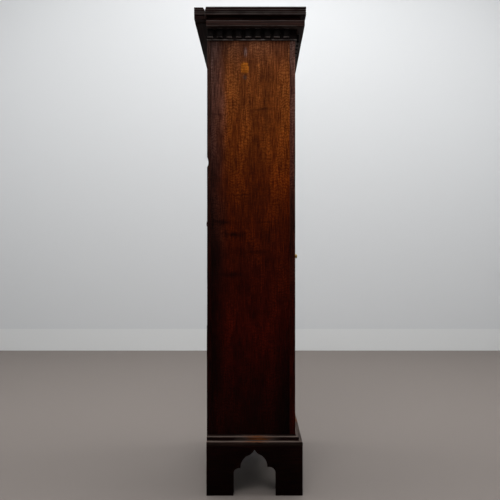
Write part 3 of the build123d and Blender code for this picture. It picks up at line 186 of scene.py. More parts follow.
class Finish:
    """A material under construction: a Principled shader and the nodes that feed it."""

    def __init__(self, name):
        self.material = bpy.data.materials.new(name)
        self.material.use_nodes = True
        self.tree = self.material.node_tree
        self.shader = self.tree.nodes["Principled BSDF"]
        self.place = self.node("ShaderNodeTexCoord", {}, ()).outputs["Object"]

    def node(self, kind, settings, values):
        """Adds a node: its settings first, then a value or a link for each of its inputs in turn."""
        made = self.tree.nodes.new(kind)
        for key, value in settings.items():
            setattr(made, key, value)
        sockets = values.items() if isinstance(values, dict) else enumerate(values)
        for key, value in sockets:
            self.feed(made.inputs[key], value)
        return made

    def feed(self, socket, value):
        """Links a socket, or sets it if the value is a plain number or colour."""
        if isinstance(value, Value):
            value = value.socket
        if isinstance(value, bpy.types.NodeSocket):
            self.tree.links.new(value, socket)
        elif value is not None:
            socket.default_value = value

    def set(self, **values):
        """Feeds the shader's inputs, with spaces written as underscores."""
        for key, value in values.items():
            self.feed(self.shader.inputs[key.replace("_", " ")], value)
        return self.material

    def axes(self):
        """The place on the object as three numbers."""
        split = self.node("ShaderNodeSeparateXYZ", {}, (self.place,))
        return [Value(self, output) for output in split.outputs]

    def from_centre(self, centre):
        """The distance from a line through (x, z) that runs from front to back."""
        x, _, z = self.axes()
        across, up = x - centre[0], z - centre[1]
        return (across * across + up * up) ** 0.5

    def noise(self, scale=1.0, detail=3.0, rough=0.5, bend=0.0, vector=None):
        """Fractal noise, about 0 to 1."""
        values = {"Vector": vector or self.place, "Scale": scale, "Detail": detail, "Roughness": rough}
        made = self.node("ShaderNodeTexNoise", {"noise_dimensions": "3D"}, {**values, "Distortion": bend})
        return Value(self, made.outputs["Fac"])

    def grained(self, grain, across, along, shift=0.0, **noise):
        """Noise drawn out along the grain: so many waves in a metre across it, and along it."""
        scales = [along if axis == grain else across for axis in "xyz"]
        settings = {"Vector": self.place, "Scale": scales, "Location": (shift, shift, shift)}
        return self.noise(vector=self.node("ShaderNodeMapping", {}, settings).outputs[0], **noise)

    def mix(self, mask, first, second, blend="MIX"):
        """A colour between two others."""
        made = self.node("ShaderNodeMix", {"data_type": "RGBA", "blend_type": blend}, {})
        self.feed(made.inputs[0], mask)
        for socket, colour in ((made.inputs[6], first), (made.inputs[7], second)):
            self.feed(socket, (*colour, 1) if isinstance(colour, tuple) else colour)
        return made.outputs[2]

    def tinted(self, colour, tint):
        """A colour multiplied by another."""
        return self.mix(1.0, colour, tint, "MULTIPLY")

    def ramp(self, value, stops):
        """A colour from a list of (position, colour)."""
        made = self.node("ShaderNodeValToRGB", {}, (value,))
        band = made.color_ramp
        while len(band.elements) < len(stops):
            band.elements.new(0.5)
        for element, (position, colour) in zip(band.elements, stops):
            element.position, element.color = position, (*colour, 1)
        return made.outputs[0]

    def bump(self, height, strength, distance):
        """A normal from a height."""
        values = {"Strength": strength, "Distance": distance, "Height": height}
        return self.node("ShaderNodeBump", {}, values).outputs["Normal"]


# The two colour ramps below paint the oak darker towards the floor, partly as a darker stain and partly as
# painted shade for light that falls off downwards.
ramp_height = 1.4
polish_and_painted_shade = [
    (0.00, (0.0040, 0.0007, 0.0003)),
    (0.11, (0.0062, 0.0007, 0.0002)),
    (0.21, (0.0140, 0.0009, 0.0002)),
    (0.34, (0.0350, 0.0022, 0.0002)),
    (0.46, (0.0390, 0.0036, 0.0002)),
    (0.56, (0.0560, 0.0070, 0.0004)),
    (0.65, (0.0830, 0.0132, 0.0010)),
    (0.75, (0.1270, 0.0280, 0.0034)),
    (0.85, (0.1620, 0.0430, 0.0080)),
    (0.95, (0.1190, 0.0370, 0.0125)),
]
dull_polish_and_painted_shade = [
    (0.40, (0.0350, 0.0030, 0.0008)),
    (0.56, (0.0500, 0.0130, 0.0085)),
    (0.65, (0.0800, 0.0250, 0.0190)),
    (0.75, (0.1250, 0.0490, 0.0400)),
    (0.85, (0.1600, 0.0740, 0.0600)),
    (0.95, (0.1350, 0.0800, 0.0740)),
]
# Each stain on the left side: its height, its depth, half its width, and how dark it is.
stains = ((0.788, 0.085, 0.014, 0.65), (0.754, 0.050, 0.012, 0.72), (0.634, 0.055, 0.013, 0.62),
          (1.1146, -0.032, 0.007, 0.50), (1.100, 0.095, 0.005, 0.40), (0.868, 0.020, 0.005, 0.35),
          (0.786, -0.045, 0.005, 0.45), (0.700, -0.020, 0.009, 0.40))
stain_half_length = 0.050
knot_y, knot_z, knot_bar = 0.0155, 1.2375, 0.0076
scuff_z, spot_z = knot_z + 0.045, knot_z - 0.0285
ray_length = 0.0092
case_face = 0.1992


def oak(name, grain="z", shade=1.0, shift=0.0, figure=1.0, rim=0.0, side=False):
    """Old polished oak: grain lines, streaks, and the pale ripples of quarter-sawn rays, on a colour
    that darkens towards the floor, partly as stain and partly as painted shade. A rim is a dull edge
    beside the case's outer faces, and side adds the marks of the left side, a painted sheen among them."""
    finish = Finish(name)
    x, y, z = finish.axes()
    along = {"x": x, "y": y, "z": z}[grain]
    sway = finish.grained(grain, 14, 5, shift, rough=0.6)
    lines = finish.grained(grain, 520, 26, shift, detail=2.0, rough=0.6, bend=0.3)
    streaks = finish.grained(grain, 150, 7, shift + 2, rough=0.65)
    pores = finish.grained(grain, 950, 42, shift, detail=2.0).between(0.60, 0.72)
    swirl = finish.grained(grain, 26, 15, shift + 5, detail=4.0, rough=0.72)
    ripple = ((along + swirl * 0.062) * (2 * pi / ray_length)).sine() * 0.5 + 0.5
    zone = finish.grained(grain, 26, 6, shift + 3, detail=2.0).between(0.44, 0.60)
    ray = ripple * zone * figure
    dash = finish.grained(grain, 90, 330, shift + 7, rough=0.6, bend=1.4).between(0.45, 0.66)
    cloud = finish.grained(grain, 30, 11, shift + 9, rough=0.6)
    tone = (lines.between(0.34, 0.66) * 0.95 + 0.50) * (streaks.between(0.30, 0.70) * 0.34 + 0.82)
    tone = tone * (1.0 - pores * 0.30) * (ray * 0.62 + dash * 0.40 + 0.64) * (sway * 0.7 + 0.65) * shade
    tone = tone * (cloud.between(0.30, 0.70) * 0.36 + 0.82)
    body = finish.ramp(z / ramp_height, polish_and_painted_shade)
    dull = finish.ramp(z / ramp_height, dull_polish_and_painted_shade)
    if rim:
        outer = (x * x).between((case_face - 0.0022) ** 2, case_face**2)
        tone = tone * (1.0 - outer * rim)
        body = finish.mix(outer * 0.75, body, dull)
    if side:
        back_margin = (y + (sway - 0.5) * 0.05).between(0.062, 0.112)
        front_margin = (y + (sway - 0.5) * 0.03).between(-0.055, -0.112)
        tone = tone * (1.0 - back_margin * (0.80 - 0.46 * z.between(0.75, 1.30)))
        tone = tone * (1.0 - front_margin * (z.between(0.62, 0.25) * 0.55 + 0.06))
        tone = tone * (1.0 + 0.30 * y.between(0.03, -0.08) * z.near(0.95, 0.40))
        tone = tone * (1.0 - 0.20 * y.between(0.02, 0.06) * z.between(1.20, 1.30))
        bent = z + (sway - 0.5) * 0.02
        for height, depth, width, dark in stains:
            tone = tone * (1.0 - dark * bent.near(height, width) * y.near(depth, stain_half_length))
        bars = ((z + (swirl - 0.5) * 0.006) * (2 * pi / knot_bar)).sine() * 0.5 + 0.5
        knot = (y + (streaks - 0.5) * 0.016).near(knot_y, 0.017)
        knot = knot * (z + (lines - 0.5) * 0.02).near(knot_z, 0.024)
        knot = knot.between(0.05, 0.45) * (0.35 + 0.45 * bars + 0.30 * dash)
        knot_wood = knot.between(0.0, 0.4)
        glow = y.near(knot_y - 0.004, 0.022) * z.near(knot_z - 0.060, 0.060) * streaks.between(0.30, 0.60)
        spot = (y - (lines - 0.5) * 0.01).near(knot_y, 0.010) * z.near(spot_z, 0.011)
        scuff = y.near(knot_y - 0.001, 0.009) * z.near(scuff_z, 0.022) * lines.between(0.30, 0.55)
        # A bluish grey band high on the left side, above the knot, is a painted sheen: a reflection of the
        # lamps painted into the colour.
        painted_sheen = z.between(1.230, 1.318) * 0.6 * (1.0 - knot_wood)
        tone = tone * (1.0 + 1.9 * knot) * (1.0 + 0.45 * glow) * (1.0 - 0.45 * spot)
        body = finish.mix(knot_wood * 0.7, body, (0.200, 0.062, 0.003))
        body = finish.mix((scuff * 0.95 + spot * 0.6).between(0.0, 1.0), body, (0.230, 0.140, 0.105))
        body = finish.mix(painted_sheen, body, finish.tinted(body, (0.92, 1.08, 1.7)))
        body = finish.mix(back_margin * 0.9, body, dull)
    redder, yellower = finish.tinted(body, (1.0, 0.80, 0.70)), finish.tinted(body, (1.0, 1.12, 1.1))
    hue = finish.mix(lines.between(0.35, 0.62) * 0.5 + ray * 0.5, redder, yellower)
    toned = finish.node("ShaderNodeVectorMath", {"operation": "SCALE"}, {"Vector": hue, "Scale": tone})
    relief = finish.bump(lines * 0.3 - pores * 0.8 + ray * 0.15, 0.30, 0.0006)
    return finish.set(Base_Color=toned.outputs[0], Roughness=0.50 + 0.16 * sway + 0.14 * pores,
                      Specular_IOR_Level=0.03, Normal=relief)


def shown(name, mesh, material):
    """An object for a finished mesh, with crisp edges only where faces really turn."""
    mesh.materials.append(material)
    for face in mesh.polygons:
        face.use_smooth = True
    mesh.set_sharp_from_angle(angle=radians(38))
    piece = bpy.data.objects.new(name, mesh)
    scene.collection.objects.link(piece)
    return piece


def settle(piece, body, replaced=()):
    """Fixes a piece to the body that it moves with, in place of its plain nodes."""
    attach(piece, body)
    if replaced:
        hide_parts(*replaced)


def as_mesh(name, shape):
    """Mesh data from a bmesh. The bmesh goes."""
    mesh = bpy.data.meshes.new(name)
    shape.to_mesh(mesh)
    shape.free()
    return mesh


def evaluated(holder):
    """Mesh data of an object that isn't in the scene yet, with its modifiers done. The object goes."""
    scene.collection.objects.link(holder)
    bpy.context.view_layer.update()
    mesh = bpy.data.meshes.new_from_object(holder.evaluated_get(bpy.context.evaluated_depsgraph_get()))
    bpy.data.objects.remove(holder)
    return mesh


def lofted(name, shape, rings):
    """A skin over closed rings of points, one after another, with both ends filled."""
    for near_ring, far_ring in zip(rings, rings[1:]):
        for number, near_point in enumerate(near_ring):
            following = (number + 1) % len(near_ring)
            shape.faces.new((near_point, near_ring[following], far_ring[following], far_ring[number]))
    shape.faces.new(rings[0])
    shape.faces.new(rings[-1])
    bmesh.ops.recalc_face_normals(shape, faces=shape.faces)
    return as_mesh(name, shape)


flat_width, wear_scale, uneven_scale = 0.014, 14, 22
arris_points, arris_wear = 4, 0.75


def plank_mesh(name, low, high, along, edge=0.0015, arrises=None, uneven=0.00025, seed=0.0, shape=None,
               step=0.010):
    """A hand-planed board: its arrises are worn round unevenly, and its faces aren't quite flat. For an
    upright board, the four arrises are right front, right back, left back and left front."""
    first, second = [axis for axis in range(3) if axis != along]
    half = [(high[axis] - low[axis]) / 2 for axis in range(3)]
    middle = [(high[axis] + low[axis]) / 2 for axis in range(3)]
    length = high[along] - low[along]
    edge = min(edge, half[first] * 0.45, half[second] * 0.45, length * 0.3)
    inner = max(2, int((length - 2 * edge) / step))
    stations = [(0.0, edge), (0.3 * edge, 0.3 * edge)]
    stations += [(edge + (length - 2 * edge) * number / inner, 0.0) for number in range(inner + 1)]
    stations += [(length - 0.3 * edge, 0.3 * edge), (length, edge)]
    flats = [max(1, int(2 * half[axis] / flat_width)) for axis in (second, first)] * 2
    corners = [(1, -1, -90), (1, 1, 0), (-1, 1, 90), (-1, -1, 180)]
    mesh_points, rings = bmesh.new(), []
    for distance, inset in stations:
        rounds = []
        for number, (sign_first, sign_second, turn) in enumerate(corners):
            wear = noise.noise(Vector((distance * wear_scale + seed, number * 7.3, seed)))
            radius = (arrises[number] if arrises else edge) * (1.0 + arris_wear * wear)
            for part in range(arris_points):
                angle = radians(turn + 90 / (arris_points - 1) * part)
                rounds.append((sign_first * (half[first] - inset - radius) + radius * cos(angle),
                               sign_second * (half[second] - inset - radius) + radius * sin(angle),
                               cos(angle), sin(angle)))
        outline = []
        for number in range(len(corners)):
            after = (number + 1) * arris_points
            outline += rounds[number * arris_points : after]
            last, following = outline[-1], rounds[after % len(rounds)]
            for part in range(1, flats[number]):
                share = part / flats[number]
                outline.append(tuple(a + (b - a) * share for a, b in zip(last, following)))
        ring = []
        for at_first, at_second, out_first, out_second in outline:
            point = Vector((0, 0, 0))
            point[along] = low[along] + distance
            point[first] = middle[first] + at_first
            point[second] = middle[second] + at_second
            lift = uneven * (noise.noise(point * uneven_scale + Vector((seed, 0, 0))) - 0.35)
            point[first] += out_first * lift
            point[second] += out_second * lift
            ring.append(mesh_points.verts.new(shape(point) if shape else point))
        rings.append(ring)
    return lofted(name, mesh_points, rings)


def plank(name, low, high, along, material, replaced, slot="oak_case", **shape):
    """A board that stands for one or more nodes."""
    mesh = plank_mesh(name, low, high, along, **shape)
    settle(shown(name, mesh, material), "case", replaced)


side_oak = oak("oak_left_side", side=True)
plain_oak = oak("oak_upright", shift=21.0)
outer, inner = (0.0008, 0.0008), (0.0003, 0.0003)
for side, finish, seed, arrises in (
    ("left", side_oak, 3.1, outer + inner),
    ("right", plain_oak, 8.7, inner + outer),
):
    plank(f"{side}_side_plank", *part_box(f"{side}_side_board"), 2, finish, replaced=[f"{side}_side_board"],
          seed=seed, uneven=0.0005, arrises=arrises)

# -------- back boards
# Three thin oak planks stand side by side across the back, nailed into the edges of the sides.
# The outer arris by the left side has lost a chip high up, and a splinter stands out below it.
chip_z, chip_half, splinter_z, splinter_half = 0.961, 0.0125, 0.782, 0.006
damage_reach, proud_below = 0.045, 0.487


def back_damage(point):
    """The chip and the splinter in the left back arris, and the lower stretch that stands out."""
    by_left_edge = max(0.0, 1.0 - (point.x - cad_left) / damage_reach)
    if point.y > back_low + 0.004 and by_left_edge > 0:
        chip = max(0.0, 1.0 - abs(point.z - chip_z) / chip_half) ** 0.4
        splinter = max(0.0, 1.0 - abs(point.z - splinter_z) / splinter_half)
        point.y += by_left_edge**0.3 * (0.0035 * splinter - 0.0042 * chip)
        if point.z < proud_below:
            point.y += 0.0008 * by_left_edge
    return point


back_oak = oak("oak_back", shade=0.75, shift=40.0, figure=0.5, rim=0.55)
low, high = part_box("back_boards")
cad_left, back_low = low[0], low[1]
board_count, open_joint = 3, 0.0007
board_width = (high[0] - low[0]) / board_count
for number in range(board_count):
    start = low[0] + number * board_width
    leftmost, rightmost = number == 0, number == board_count - 1
    plank(f"back_plank_{number + 1}", (start + (0 if leftmost else open_joint), low[1], low[2]),
          (start + board_width, high[1], high[2]), 2, back_oak, ["back_boards"], "oak_inside",
          arrises=(0.0014 if rightmost else 0.0005, 0.0008, 0.0014 if leftmost else 0.0008, 0.0004),
          shape=back_damage if leftmost else None, step=0.006 if leftmost else 0.012, seed=11.0 + number)

# -------- nails in the back
# Hand-made iron nails hold the back boards along both sides and along the middle joints. Their
# heads are square, a little domed, and black with age.


def repeat_tree(name, material):
    """A node tree that puts its object at each point of a line, turned a little at random."""
    tree = bpy.data.node_groups.new(name, "GeometryNodeTree")
    new_socket, new = tree.interface.new_socket, tree.nodes.new
    kinds = {"Geometry": "Geometry", "Count": "Int", "Pitch": "Vector", "Turn": "Vector", "Swell": "Float"}
    keys = {
        key: new_socket(key, in_out="INPUT", socket_type=f"NodeSocket{kind}").identifier
        for key, kind in kinds.items()
    }
    new_socket("Geometry", in_out="OUTPUT", socket_type="NodeSocketGeometry")
    given, result = new("NodeGroupInput"), new("NodeGroupOutput")
    line, put = new("GeometryNodeMeshLine"), new("GeometryNodeInstanceOnPoints")
    lean, size = new("FunctionNodeRandomValue"), new("FunctionNodeRandomValue")
    lean.data_type, size.data_type = "FLOAT_VECTOR", "FLOAT"
    lean.inputs["Seed"].default_value, size.inputs["Seed"].default_value = 7, 3
    back_lean, smaller = new("ShaderNodeVectorMath"), new("ShaderNodeMath")
    back_lean.operation, smaller.operation = "SCALE", "SUBTRACT"
    back_lean.inputs["Scale"].default_value = -1.0
    smaller.inputs[0].default_value = size.inputs[3].default_value = 1.0
    realize, paint = new("GeometryNodeRealizeInstances"), new("GeometryNodeSetMaterial")
    paint.inputs["Material"].default_value = material
    for source, target in (
        (given.outputs["Count"], line.inputs["Count"]),
        (given.outputs["Pitch"], line.inputs["Offset"]),
        (line.outputs[0], put.inputs["Points"]),
        (given.outputs["Geometry"], put.inputs["Instance"]),
        (given.outputs["Turn"], lean.inputs[1]),
        (given.outputs["Turn"], back_lean.inputs[0]),
        (back_lean.outputs[0], lean.inputs[0]),
        (lean.outputs[0], put.inputs["Rotation"]),
        (given.outputs["Swell"], smaller.inputs[1]),
        (smaller.outputs[0], size.inputs[2]),
        (size.outputs[1], put.inputs["Scale"]),
        (put.outputs[0], realize.inputs[0]),
        (realize.outputs[0], paint.inputs[0]),
        (paint.outputs[0], result.inputs[0]),
    ):
        tree.links.new(source, target)
    return tree, keys


def repeated(mesh, tree_and_keys, start, count, pitch, turn, swell):
    """Plain mesh data for a row of copies of a small mesh that is drawn round its own middle."""
    tree, keys = tree_and_keys
    pattern = bpy.data.objects.new("pattern", mesh)
    row = pattern.modifiers.new("row", "NODES")
    row.node_group = tree
    for key, value in (("Count", count), ("Pitch", pitch), ("Turn", turn), ("Swell", swell)):
        row[keys[key]] = value
    result = evaluated(pattern)
    result.transform(Matrix.Translation(Vector(start)))
    return result


def joined(name, meshes, material):
    """One piece from several meshes that share a finish."""
    whole = bmesh.new()
    for mesh in meshes:
        whole.from_mesh(mesh)
    return shown(name, as_mesh(name, whole), material)


def iron(name):
    """Black forged iron."""
    finish = Finish(name)
    rust = finish.noise(260.0, 4.0, 0.6)
    colour = finish.mix(rust.between(0.45, 0.75), (0.022, 0.020, 0.019), (0.060, 0.026, 0.014))
    return finish.set(Base_Color=colour, Metallic=0.6, Roughness=0.45 + 0.4 * rust,
                      Normal=finish.bump(rust, 0.5, 0.0004))


old_iron = iron("iron_black")
nail_half, nail_stand, nail_pitch, nails_in_row, nail_inset = 0.0026, 0.0007, 0.148, 9, 0.009
nail_corner = Vector((nail_half, nail_stand, nail_half))
nail_head = plank_mesh("nail_head", -nail_corner, nail_corner, 1, edge=0.0008, step=0.001)
nail_rows = repeat_tree("row_of_nails", old_iron)
joint_nails = [low[0] + number * board_width - 0.008 for number in range(1, board_count)]
nail_meshes = [
    repeated(nail_head.copy(), nail_rows, (x, high[1] - 0.0002, low[2] + 0.02), nails_in_row,
             (0, 0, nail_pitch), (0, 0.5, 0), 0.2)
    for x in (low[0] + nail_inset, *joint_nails, high[0] - nail_inset)
]
settle(joined("back_nails", nail_meshes, old_iron), "case")

# -------- front frame
# Two stiles run the whole height, and four rails are tenoned between them and held by oak pegs
# driven from the front. The pegs have shrunk less than the wood round them and stand a little out.


def softened(node, material, width, body="case", parts=2, shape=None):
    """A node's own shape with its arrises taken off, as use and polishing leave them."""
    merged = bmesh.new()
    merged.from_mesh(nodes[node].data)
    bmesh.ops.remove_doubles(merged, verts=merged.verts, dist=1e-6)
    bmesh.ops.dissolve_limit(merged, angle_limit=radians(0.6), verts=merged.verts, edges=merged.edges)
    rough = bpy.data.objects.new("rough", as_mesh("rough", merged))
    bevel = rough.modifiers.new("arris", "BEVEL")
    bevel.width, bevel.segments = width, parts
    bevel.limit_method, bevel.angle_limit = "ANGLE", radians(40)
    finished = evaluated(rough)
    if shape:
        for vertex in finished.vertices:
            vertex.co = shape(vertex.co.copy())
    settle(shown(f"{node}_worn", finished, material), body, [node])


stile_low, stile_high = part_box("front_stiles")
stile_width = 0.040
stile_oak = oak("oak_stiles", shift=27.0, rim=0.30)
for side, start, arrises in (
    ("left", stile_low[0], (0.0009, 0.0005, 0.0003, 0.0018)),
    ("right", stile_high[0] - stile_width, (0.0018, 0.0003, 0.0005, 0.0009)),
):
    plank(f"front_stile_{side}", (start, stile_low[1], stile_low[2]),
          (start + stile_width, stile_high[1], stile_high[2]), 2, stile_oak, replaced=["front_stiles"],
          seed=17.0 + start, arrises=arrises)
rail_oak = oak("oak_rails", grain="x", shift=52.0, figure=0.5)
softened("front_rails", rail_oak, 0.0009)
softened("base_panel", plain_oak, 0.0009)
peg_oak = oak("oak_pegs", grain="y", shade=0.7, shift=61.0, figure=0.0)
softened("frame_pegs", peg_oak, 0.0006)

# -------- cornice
# A flat frame of five pieces lies round the top, with two reeds run along its edge. The piece at
# the back left corner is a short later repair: its joint has opened. Below are a hollow, a plain
# fascia and a strip of dentils, all in oak that has gone nearly black.
half_width = -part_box("left_side_board")[0][0]
front_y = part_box("front_stiles")[0][1]
back_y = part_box("back_boards")[1][1]
top_z = cad_box[1][2]
top_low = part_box("cornice_front")[0][2]


def black_oak(name, grain, arris_heights, width=0.0013, shift=70.0, rub=0.075, dark=1.0):
    """Oak under polish that has gone black, with grey lines along the arrises at the given heights that
    are partly rubbed wear and partly painted highlight. Dark scales the whole colour.
    """
    finish = Finish(name)
    z = finish.axes()[2]
    lines = finish.grained(grain, 260, 8, shift, detail=4.0, rough=0.65)
    patches = finish.grained(grain, 60, 22, shift + 4, rough=0.6)
    polish = finish.mix(lines.between(0.3, 0.75), (0.0044, 0.0017, 0.0013), (0.0215, 0.0088, 0.0066))
    # The grey lines at the given heights are partly rubbed wear and partly painted highlight.
    worn = z * 0.0
    for height in arris_heights:
        worn = worn + z.near(height, width)
    worn = worn * patches.between(0.22, 0.60) * 0.85
    polish = finish.tinted(polish, (dark, dark, dark))
    colour = finish.mix(worn, polish, (rub * 1.15, rub * 0.98, rub * 0.92))
    return finish.set(Base_Color=colour, Roughness=0.48 + 0.2 * worn + 0.12 * patches,
                      Specular_IOR_Level=0.035, Normal=finish.bump(lines, 0.3, 0.0005))


# Grey lines along the reed crests and the upper arrises: partly rubbed wear, partly painted highlight.
reed_lines = (top_low + 0.0080, top_low + 0.0145, top_low + 0.0025, top_z - 0.0018)
dark_oak = black_oak("oak_cornice_across", "x", reed_lines)
dark_oak_side = black_oak("oak_cornice_along", "y", reed_lines, shift=77.0)


def arc(centre, radius, start, end, parts=6):
    """Points along an arc of a profile, in degrees."""
    return [
        (centre[0] + radius * cos(radians(start + (end - start) * n / parts)),
         centre[1] + radius * sin(radians(start + (end - start) * n / parts)))
        for n in range(parts + 1)
    ]


def moulding(name, profile, side, material, replaced, seed=0.0, wear=0.0004):
    """A moulding run along one face of the case, in place of a node. The profile's points are
    (out, up), and a mitre of 1 lets an end follow the corner, so that a point further out lies
    further along."""
    facing, ends, mitres = side
    faces = {"left": (0, -1, -half_width), "right": (0, 1, half_width), "front": (1, -1, front_y)}
    out_axis, sign, base = faces[facing]
    count = len(profile)
    normals = []
    for number in range(count):
        before, after = Vector(profile[number - 1]), Vector(profile[(number + 1) % count])
        along = (after - before).normalized()
        normals.append((along.y, -along.x))
    pairs = [(profile[number - 1], profile[number]) for number in range(count)]
    area = sum(before[0] * after[1] - after[0] * before[1] for before, after in pairs)
    turned = 1 if area > 0 else -1
    shape, rings = bmesh.new(), []
    last_station = max(2, int((ends[1] - ends[0]) / moulding_step))
    for station in range(last_station + 1):
        share = station / last_station
        ring = []
        for (out, up), normal in zip(profile, normals):
            run = (ends[0] - mitres[0] * out) * (1 - share) + (ends[1] + mitres[1] * out) * share
            rub = noise.noise(Vector((run * 17 + seed, out * 60, up * 60))) * 0.5 + 0.5
            rub = turned * wear * rub * rub * (2.0 if out > 0.002 else 0.0)
            point = Vector((0, 0, up - normal[1] * rub))
            point[out_axis] = base + sign * (out - normal[0] * rub)
            point[1 - out_axis] = run
            ring.append(shape.verts.new(point))
        rings.append(ring)
    settle(shown(name, lofted(name, shape, rings), material), "case", [replaced])


three_sides = (
    ("front", (-half_width, half_width), (1, 1)),
    ("left", (front_y, back_y), (1, 0)),
    ("right", (front_y, back_y), (1, 0)),
)
overhang = -half_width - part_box("cornice_left")[0][0]
back_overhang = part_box("cornice_back")[1][1] - back_y
inward, moulding_step = 0.040, 0.010


def reeded(reach):
    """The top member's section: two reeds between small fillets, and a round upper arris."""
    face, radius = reach - 0.0024, 0.0029
    points = [(-inward, top_low), (reach - 0.001, top_low), (reach, top_low + 0.001)]
    points += [(reach, top_low + 0.0034), (face, top_low + 0.0038)]
    for number in range(2):
        centre = (face - 0.0004, top_low + 0.0044 + radius + number * 0.0064)
        points += arc(centre, radius, -78, 78)
    points += [(face, top_low + 0.0169), (reach - 0.0003, top_low + 0.0173)]
    points += arc((reach - 0.0028, top_z - 0.0028), 0.0028, 0, 90, 5)
    return points + [(-inward, top_z)]


right_side = ("right", (front_y, back_y), (1, back_overhang / overhang))
moulding("cornice_front_reeded", reeded(overhang), three_sides[0], dark_oak, "cornice_front", seed=2.0)
moulding("cornice_right_reeded", reeded(overhang), right_side, dark_oak_side, "cornice_right", seed=4.0)
open_joint_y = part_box("cornice_corner_block")[0][1]


def chipped_joint(point):
    """The top arrises on both sides of the open joint are chipped away to a notch."""
    high = max(0.0, 1.0 - (top_z - point.z) / 0.009)
    from_joint = point.y - open_joint_y
    if abs(from_joint) < 0.004:
        point.y += (0.0045 if from_joint > -0.0004 else -0.0035) * high
    if from_joint > -0.0004:
        point.z -= 0.0020 * high
    return point


softened("cornice_left", dark_oak_side, 0.0010, shape=chipped_joint)
softened("cornice_back", dark_oak, 0.0012)
softened("cornice_corner_block", black_oak("oak_corner_block", "y", reed_lines, shift=90.0), 0.0016,
         parts=3, shape=chipped_joint)
softened("top_board", black_oak("oak_top", "x", (), shift=83.0), 0.0010)

corona_low, corona_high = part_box("corona_moulding")
corona_out = -half_width - corona_low[0]
fascia_top = corona_low[2] + 0.017
# Grey lines along the corona's lower and upper arrises: partly rubbed wear, partly painted highlight.
corona_lines = (corona_low[2] + 0.0010, fascia_top - 0.0010)
corona_oak = {
    "front": black_oak("oak_corona_across", "x", corona_lines, shift=101.0, dark=1.7),
    "left": black_oak("oak_corona_along", "y", corona_lines, shift=104.0, dark=1.7),
}
corona_oak["right"] = corona_oak["left"]
corona_profile = (
    [(0, corona_high[2]), (0, corona_low[2]), (corona_out - 0.0012, corona_low[2])]
    + arc((corona_out - 0.0012, corona_low[2] + 0.0012), 0.0012, -60, 0, 3)
    + arc((corona_out - 0.0016, fascia_top - 0.0016), 0.0016, 0, 80, 4)
    + [(corona_out - 0.0060, fascia_top + 0.0010), (corona_out - 0.0095, fascia_top + 0.0034),
       (corona_out - 0.0115, fascia_top + 0.0066), (corona_out - 0.0120, corona_high[2])]
)
for number, side in enumerate(three_sides):
    moulding(f"corona_{side[0]}", corona_profile, side, corona_oak[side[0]], "corona_moulding",
             seed=5.0 + number)

# -------- dentils
# Small oak blocks sawn from one strip are glued in a row under the fascia on three sides. Their
# arrises carry grey lines, partly rubbed wear and partly painted highlight, the blocks and their
# strip are painted near black as painted shade under the cornice, and no two are quite alike.
strip_low, strip_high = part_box("dentil_strips")
strip_thickness, dentil_stand, dentil_width = 0.004, 0.009, 0.017
dentil_pitch, dentil_height, corner_gap = 0.0275, 0.026, 0.018
dentil_arrises = (strip_high[2] - 0.0006, strip_high[2] - dentil_height + 0.0008)
# The dentils' colour is scaled to a fifth and the strip's to about a third, as painted shade for the shadow
# under the cornice; their raised grey arris lines are partly wear and partly painted highlight.
dentil_oak = black_oak("oak_dentils", "x", dentil_arrises, 0.0014, 95.0, rub=0.15, dark=0.20)
strip_oak = black_oak("oak_dentil_strip", "x", (strip_low[2] + 0.0012,), 0.0018, 98.0, rub=0.20, dark=0.35)
strip_profile = [(0, strip_high[2]), (0, strip_low[2]), (strip_thickness - 0.0008, strip_low[2])]
strip_profile += [(strip_thickness, strip_low[2] + 0.0008), (strip_thickness, strip_high[2])]
for side in three_sides:
    moulding(f"dentil_strip_{side[0]}", strip_profile, side, strip_oak, "dentil_strips",
             seed=side[1][0] * 9, wear=0.0002)
dentil_rows = repeat_tree("row_of_dentils", dentil_oak)
front_count = int((2 * half_width - 2 * corner_gap + dentil_pitch - dentil_width) // dentil_pitch)
side_count = int((back_y - front_y - corner_gap - dentil_width) // dentil_pitch) + 1
dentil_z = strip_high[2] - dentil_height / 2
dentil_half = Vector((dentil_width / 2, dentil_stand / 2, dentil_height / 2))
front_block = plank_mesh("dentil_front", -dentil_half, dentil_half, 2, edge=0.0013, step=0.005,
                         uneven=0.0002, seed=31.0)
side_block = front_block.copy()
side_block.transform(Matrix.Rotation(radians(90), 4, "Z"))
dentil_reach = strip_thickness + dentil_stand / 2
dentil_lean = (0.012, 0.02, 0.012)
front_start = (-(front_count - 1) / 2 * dentil_pitch, front_y - dentil_reach, dentil_z)
dentils = [repeated(front_block, dentil_rows, front_start, front_count, (dentil_pitch, 0, 0),
                    dentil_lean, 0.05)]
for sign in (-1, 1):
    start = (sign * (half_width + dentil_reach), front_y + corner_gap + dentil_width / 2, dentil_z)
    dentils.append(repeated(side_block.copy(), dentil_rows, start, side_count, (0, dentil_pitch, 0),
                            dentil_lean, 0.05))
settle(joined("dentils", dentils, dentil_oak), "case", ["dentil_strips"])
